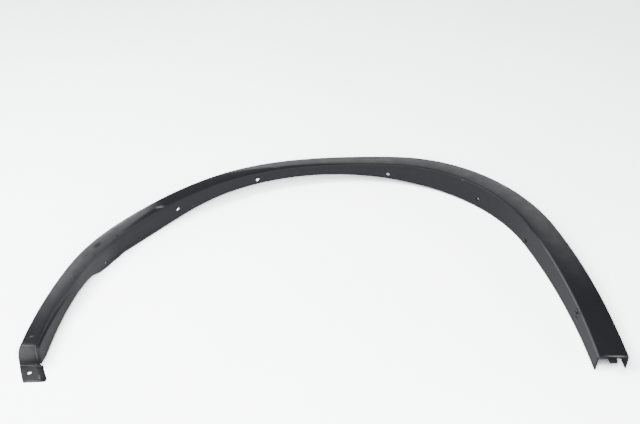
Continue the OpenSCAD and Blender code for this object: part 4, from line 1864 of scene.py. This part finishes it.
@dataclass
class Studio:
    """Floor, soft lights and the camera at the photograph's angle.

    Attributes:
        glows: Soft bright places of the room, which light the moulding from its sides.
        tint: Colour of their light.
        floor_size: Half the floor's width, in metres.
        lens: Focal length of the camera, in millimetres.
        eye: Its place, in metres.
        pitch: Its turn down from level, in degrees.
    """

    glows: tuple[Glow, ...] = (
        Glow(0, 6, 0.53),
        Glow(90, 6, 1.2),
        Glow(140, 6, 2.4),
        Glow(220, 6, 1.5),
        Glow(270, 6, 2.1),
        Glow(100, 22, 1.5, 40.0),
        Glow(260, 22, 1.5, 40.0),
        Glow(300, 38, 1.05, 40.0),
    )
    tint: Colour = (0.97, 0.985, 1.0, 1.0)
    floor_size: float = 4.0
    lens: float = 50.625
    eye: Triple = (-0.002961, -1.227834, 1.0)
    pitch: float = 36.0

    def floor(self) -> None:
        """Make the floor and mark it as stage."""
        square = ((-1, -1), (1, -1), (1, 1), (-1, 1))
        corners = [Vector((x * self.floor_size, y * self.floor_size, 0)) for x, y in square]
        obj = mesh_object("floor", corners, [(0, 1, 2, 3)], scale=1.0)
        obj.data.materials.append(PaleFloor().material())
        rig.stage(obj)

    def camera(self) -> None:
        """Make the camera and set it as the scene's."""
        data = bpy.data.cameras.new("camera")
        data.sensor_width, data.lens = 36.0, self.lens
        data.dof.use_dof = False
        obj = linked(data)
        obj.location = self.eye
        obj.rotation_euler = (math.radians(90 - self.pitch), 0, 0)
        bpy.context.scene.camera = obj

    def softbox(self, name: str, at: Triple, aim: Triple, size: float, power: float) -> None:
        """Make one large round soft light that the camera doesn't see.

        Args:
            name: Name of the light.
            at: Its place, in metres.
            aim: The point it faces, in metres.
            size: Its diameter, in metres.
            power: Its power in watts.
        """
        data = bpy.data.lights.new(name, "AREA")
        data.shape, data.size, data.energy = "DISK", size, power
        obj = linked(data)
        obj.location = at
        obj.rotation_euler = (Vector(aim) - Vector(at)).to_track_quat("-Z", "Y").to_euler()
        obj.visible_camera = False

    def surroundings(self) -> None:
        """Light the room with the soft glows of its low walls and screens."""
        world = bpy.data.worlds.new("studio")
        world.use_nodes = True
        bpy.context.scene.world = world
        world.node_tree.nodes.clear()
        w = Nodes(world.node_tree)
        ray = w.node("ShaderNodeVectorMath", operation="NORMALIZE")
        w.link(w.node("ShaderNodeTexCoord").outputs["Generated"], ray.inputs[0])
        light: object = 0.0
        for glow in self.glows:
            facing = w.node("ShaderNodeVectorMath", operation="DOT_PRODUCT")
            w.link(ray.outputs[0], facing.inputs[0])
            facing.inputs[1].default_value = glow.direction
            off = w.product(w.maths("SUBTRACT", facing.outputs["Value"], 1.0), glow.focus)
            light = w.total(light, w.product(w.maths("EXPONENT", off), glow.strength))
        back = w.node("ShaderNodeBackground")
        back.inputs["Color"].default_value = self.tint
        w.link(w.product(light, w.seen_gain(PaleFloor().exposure)), back.inputs["Strength"])
        w.link(back.outputs[0], w.node("ShaderNodeOutputWorld").inputs[0])

    def build(self) -> None:
        """Build floor, camera and lights."""
        self.floor()
        self.camera()
        self.surroundings()
        self.softbox("over_left", (-0.9, -0.1, 1.5), (-0.1, 0.0, 0.0), 0.9, 11)
        self.softbox("over_front", (0.0, -1.5, 1.5), (0.0, 0.0, 0.0), 1.8, 22)


def painted_sheen_stretches() -> tuple[SheenHaze, ...]:
    """Return the stretches of the face painted lighter as greyed film and reflection, and the painted highlight along
    the crease at the tail.
    """
    return (
        # painted reflections of the bright room laid as greyed film: left leg and shoulder, then crown and right leg
        SheenHaze((0.005, 0.135, 0.235, 0.270), 0.42, (Front(0.19, 0.05, -5.0, 0.12),)),
        SheenHaze((0.16, 0.20, 0.240, 0.262), 0.34, (Front(0.2, 0.64, -1.0, 0.12),)),
        SheenHaze(
            (0.33, 0.38, 0.68, 0.93),
            0.56,
            (Front(0.365, 0.72, 8.5), Front(0.419, 0.30, 2.0, 0.12), Front(0.0, 0.07, 0.0, 0.05)),
        ),
        # painted highlight along the rounded crease towards the tail
        SheenHaze((0.79, 0.85, 1.10, 1.20), 1.2, (Front(0.0, 0.055, 0.0, 0.03, -1.0),)),
    )


def dust_and_painted_light_patches() -> tuple[SurfaceSpot, ...]:
    """Return the dusty places of the foot, painted light on the flange, and two places of painted shade at the
    shoulder.
    """
    return (
        SurfaceSpot((-0.450, -0.2530, 0.029), (0.027, 0.014, 0.025), 0.0, 0.21),
        SurfaceSpot((-0.437, -0.2740, 0.005), (0.030, 0.026, 0.007), 0.0, 0.15),
        # painted light on the left leg's flange, standing in for side light and lightening the shade of the crease
        SurfaceSpot((-0.390, -0.0540, 0.020), (0.090, 0.014, 0.032), 68.0, 0.11),
        # painted shade: two darker places of a dimple at the shoulder, taken out of the painted sheen
        SurfaceSpot((-0.3856, -0.0119, 0.047), (0.013, 0.006, 0.012), 65.0, -0.24),
        SurfaceSpot((-0.3990, -0.0420, 0.047), (0.016, 0.005, 0.012), 65.0, -0.08),
    )


def scuffs_and_painted_glints() -> tuple[SurfaceSpot, ...]:
    """Return the scratches and scuffing that show on the moulding, and painted highlights on lit edges of foot, tab
    and tail.
    """
    return (
        SurfaceSpot((-0.2951, 0.1030, 0.0448), (0.0110, 0.0040, 0.010), 23.0, 0.75),
        SurfaceSpot((-0.3194, 0.0894, 0.0437), (0.0190, 0.0014, 0.010), 51.0, 0.45),
        SurfaceSpot((-0.3027, 0.0810, 0.0447), (0.0060, 0.0012, 0.006), 45.0, 0.70),
        SurfaceSpot((-0.0970, 0.2354, 0.0450), (0.0220, 0.0018, 0.010), -17.0, 0.60),
        SurfaceSpot((0.2659, 0.1874, 0.0480), (0.0050, 0.0018, 0.006), -35.0, 0.70),
        SurfaceSpot((-0.2353, 0.1446, 0.0202), (0.0020, 0.0030, 0.002), 0.0, 0.50),
        SurfaceSpot((-0.2410, 0.1402, 0.0199), (0.0020, 0.0030, 0.002), 0.0, 0.40),
        SurfaceSpot((-0.4423, -0.2306, 0.0410), (0.0050, 0.0025, 0.006), 20.0, 0.45),
        SurfaceSpot((-0.4249, -0.2779, 0.0045), (0.0095, 0.0020, 0.004), -76.0, 0.65),
        # painted highlight along the lit front edge of the tab
        SurfaceSpot((-0.4307, -0.2872, 0.0040), (0.0200, 0.0022, 0.005), -2.0, 0.50),
        # painted highlight down the wheel side of the foot's wall
        SurfaceSpot((-0.4319, -0.2490, 0.0240), (0.0016, 0.0080, 0.0200), 0.0, 0.45, 0.40),
        # painted highlight along the tail's rounded end edge
        SurfaceSpot((0.4402, -0.2600, 0.0285), (0.0215, 0.0010, 0.0025), 0.0, 0.95, 0.15),
    )


def main() -> None:
    logging.basicConfig(level=logging.INFO, format="%(message)s")
    finish = SatinPlastic(sheen_hazes=painted_sheen_stretches(), painted_light_and_dust=dust_and_painted_light_patches(), scuffs_and_glints=scuffs_and_painted_glints())
    body = Moulding(finish=finish).build()
    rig.replaces(body, "moulding")
    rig.ride(body, "root")
    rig.slot(body, "moulding_plastic")
    LOG.info("%s: rides on root", body.name)
    Studio().build()
    visual = [list(corner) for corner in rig.bounds()]
    with open("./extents.json", "w") as out:
        json.dump({"cad": CAD_BOX, "visual": visual}, out)
    LOG.info("cad box %s, visual box %s", CAD_BOX, visual)


if __name__ == "__main__":
    main()
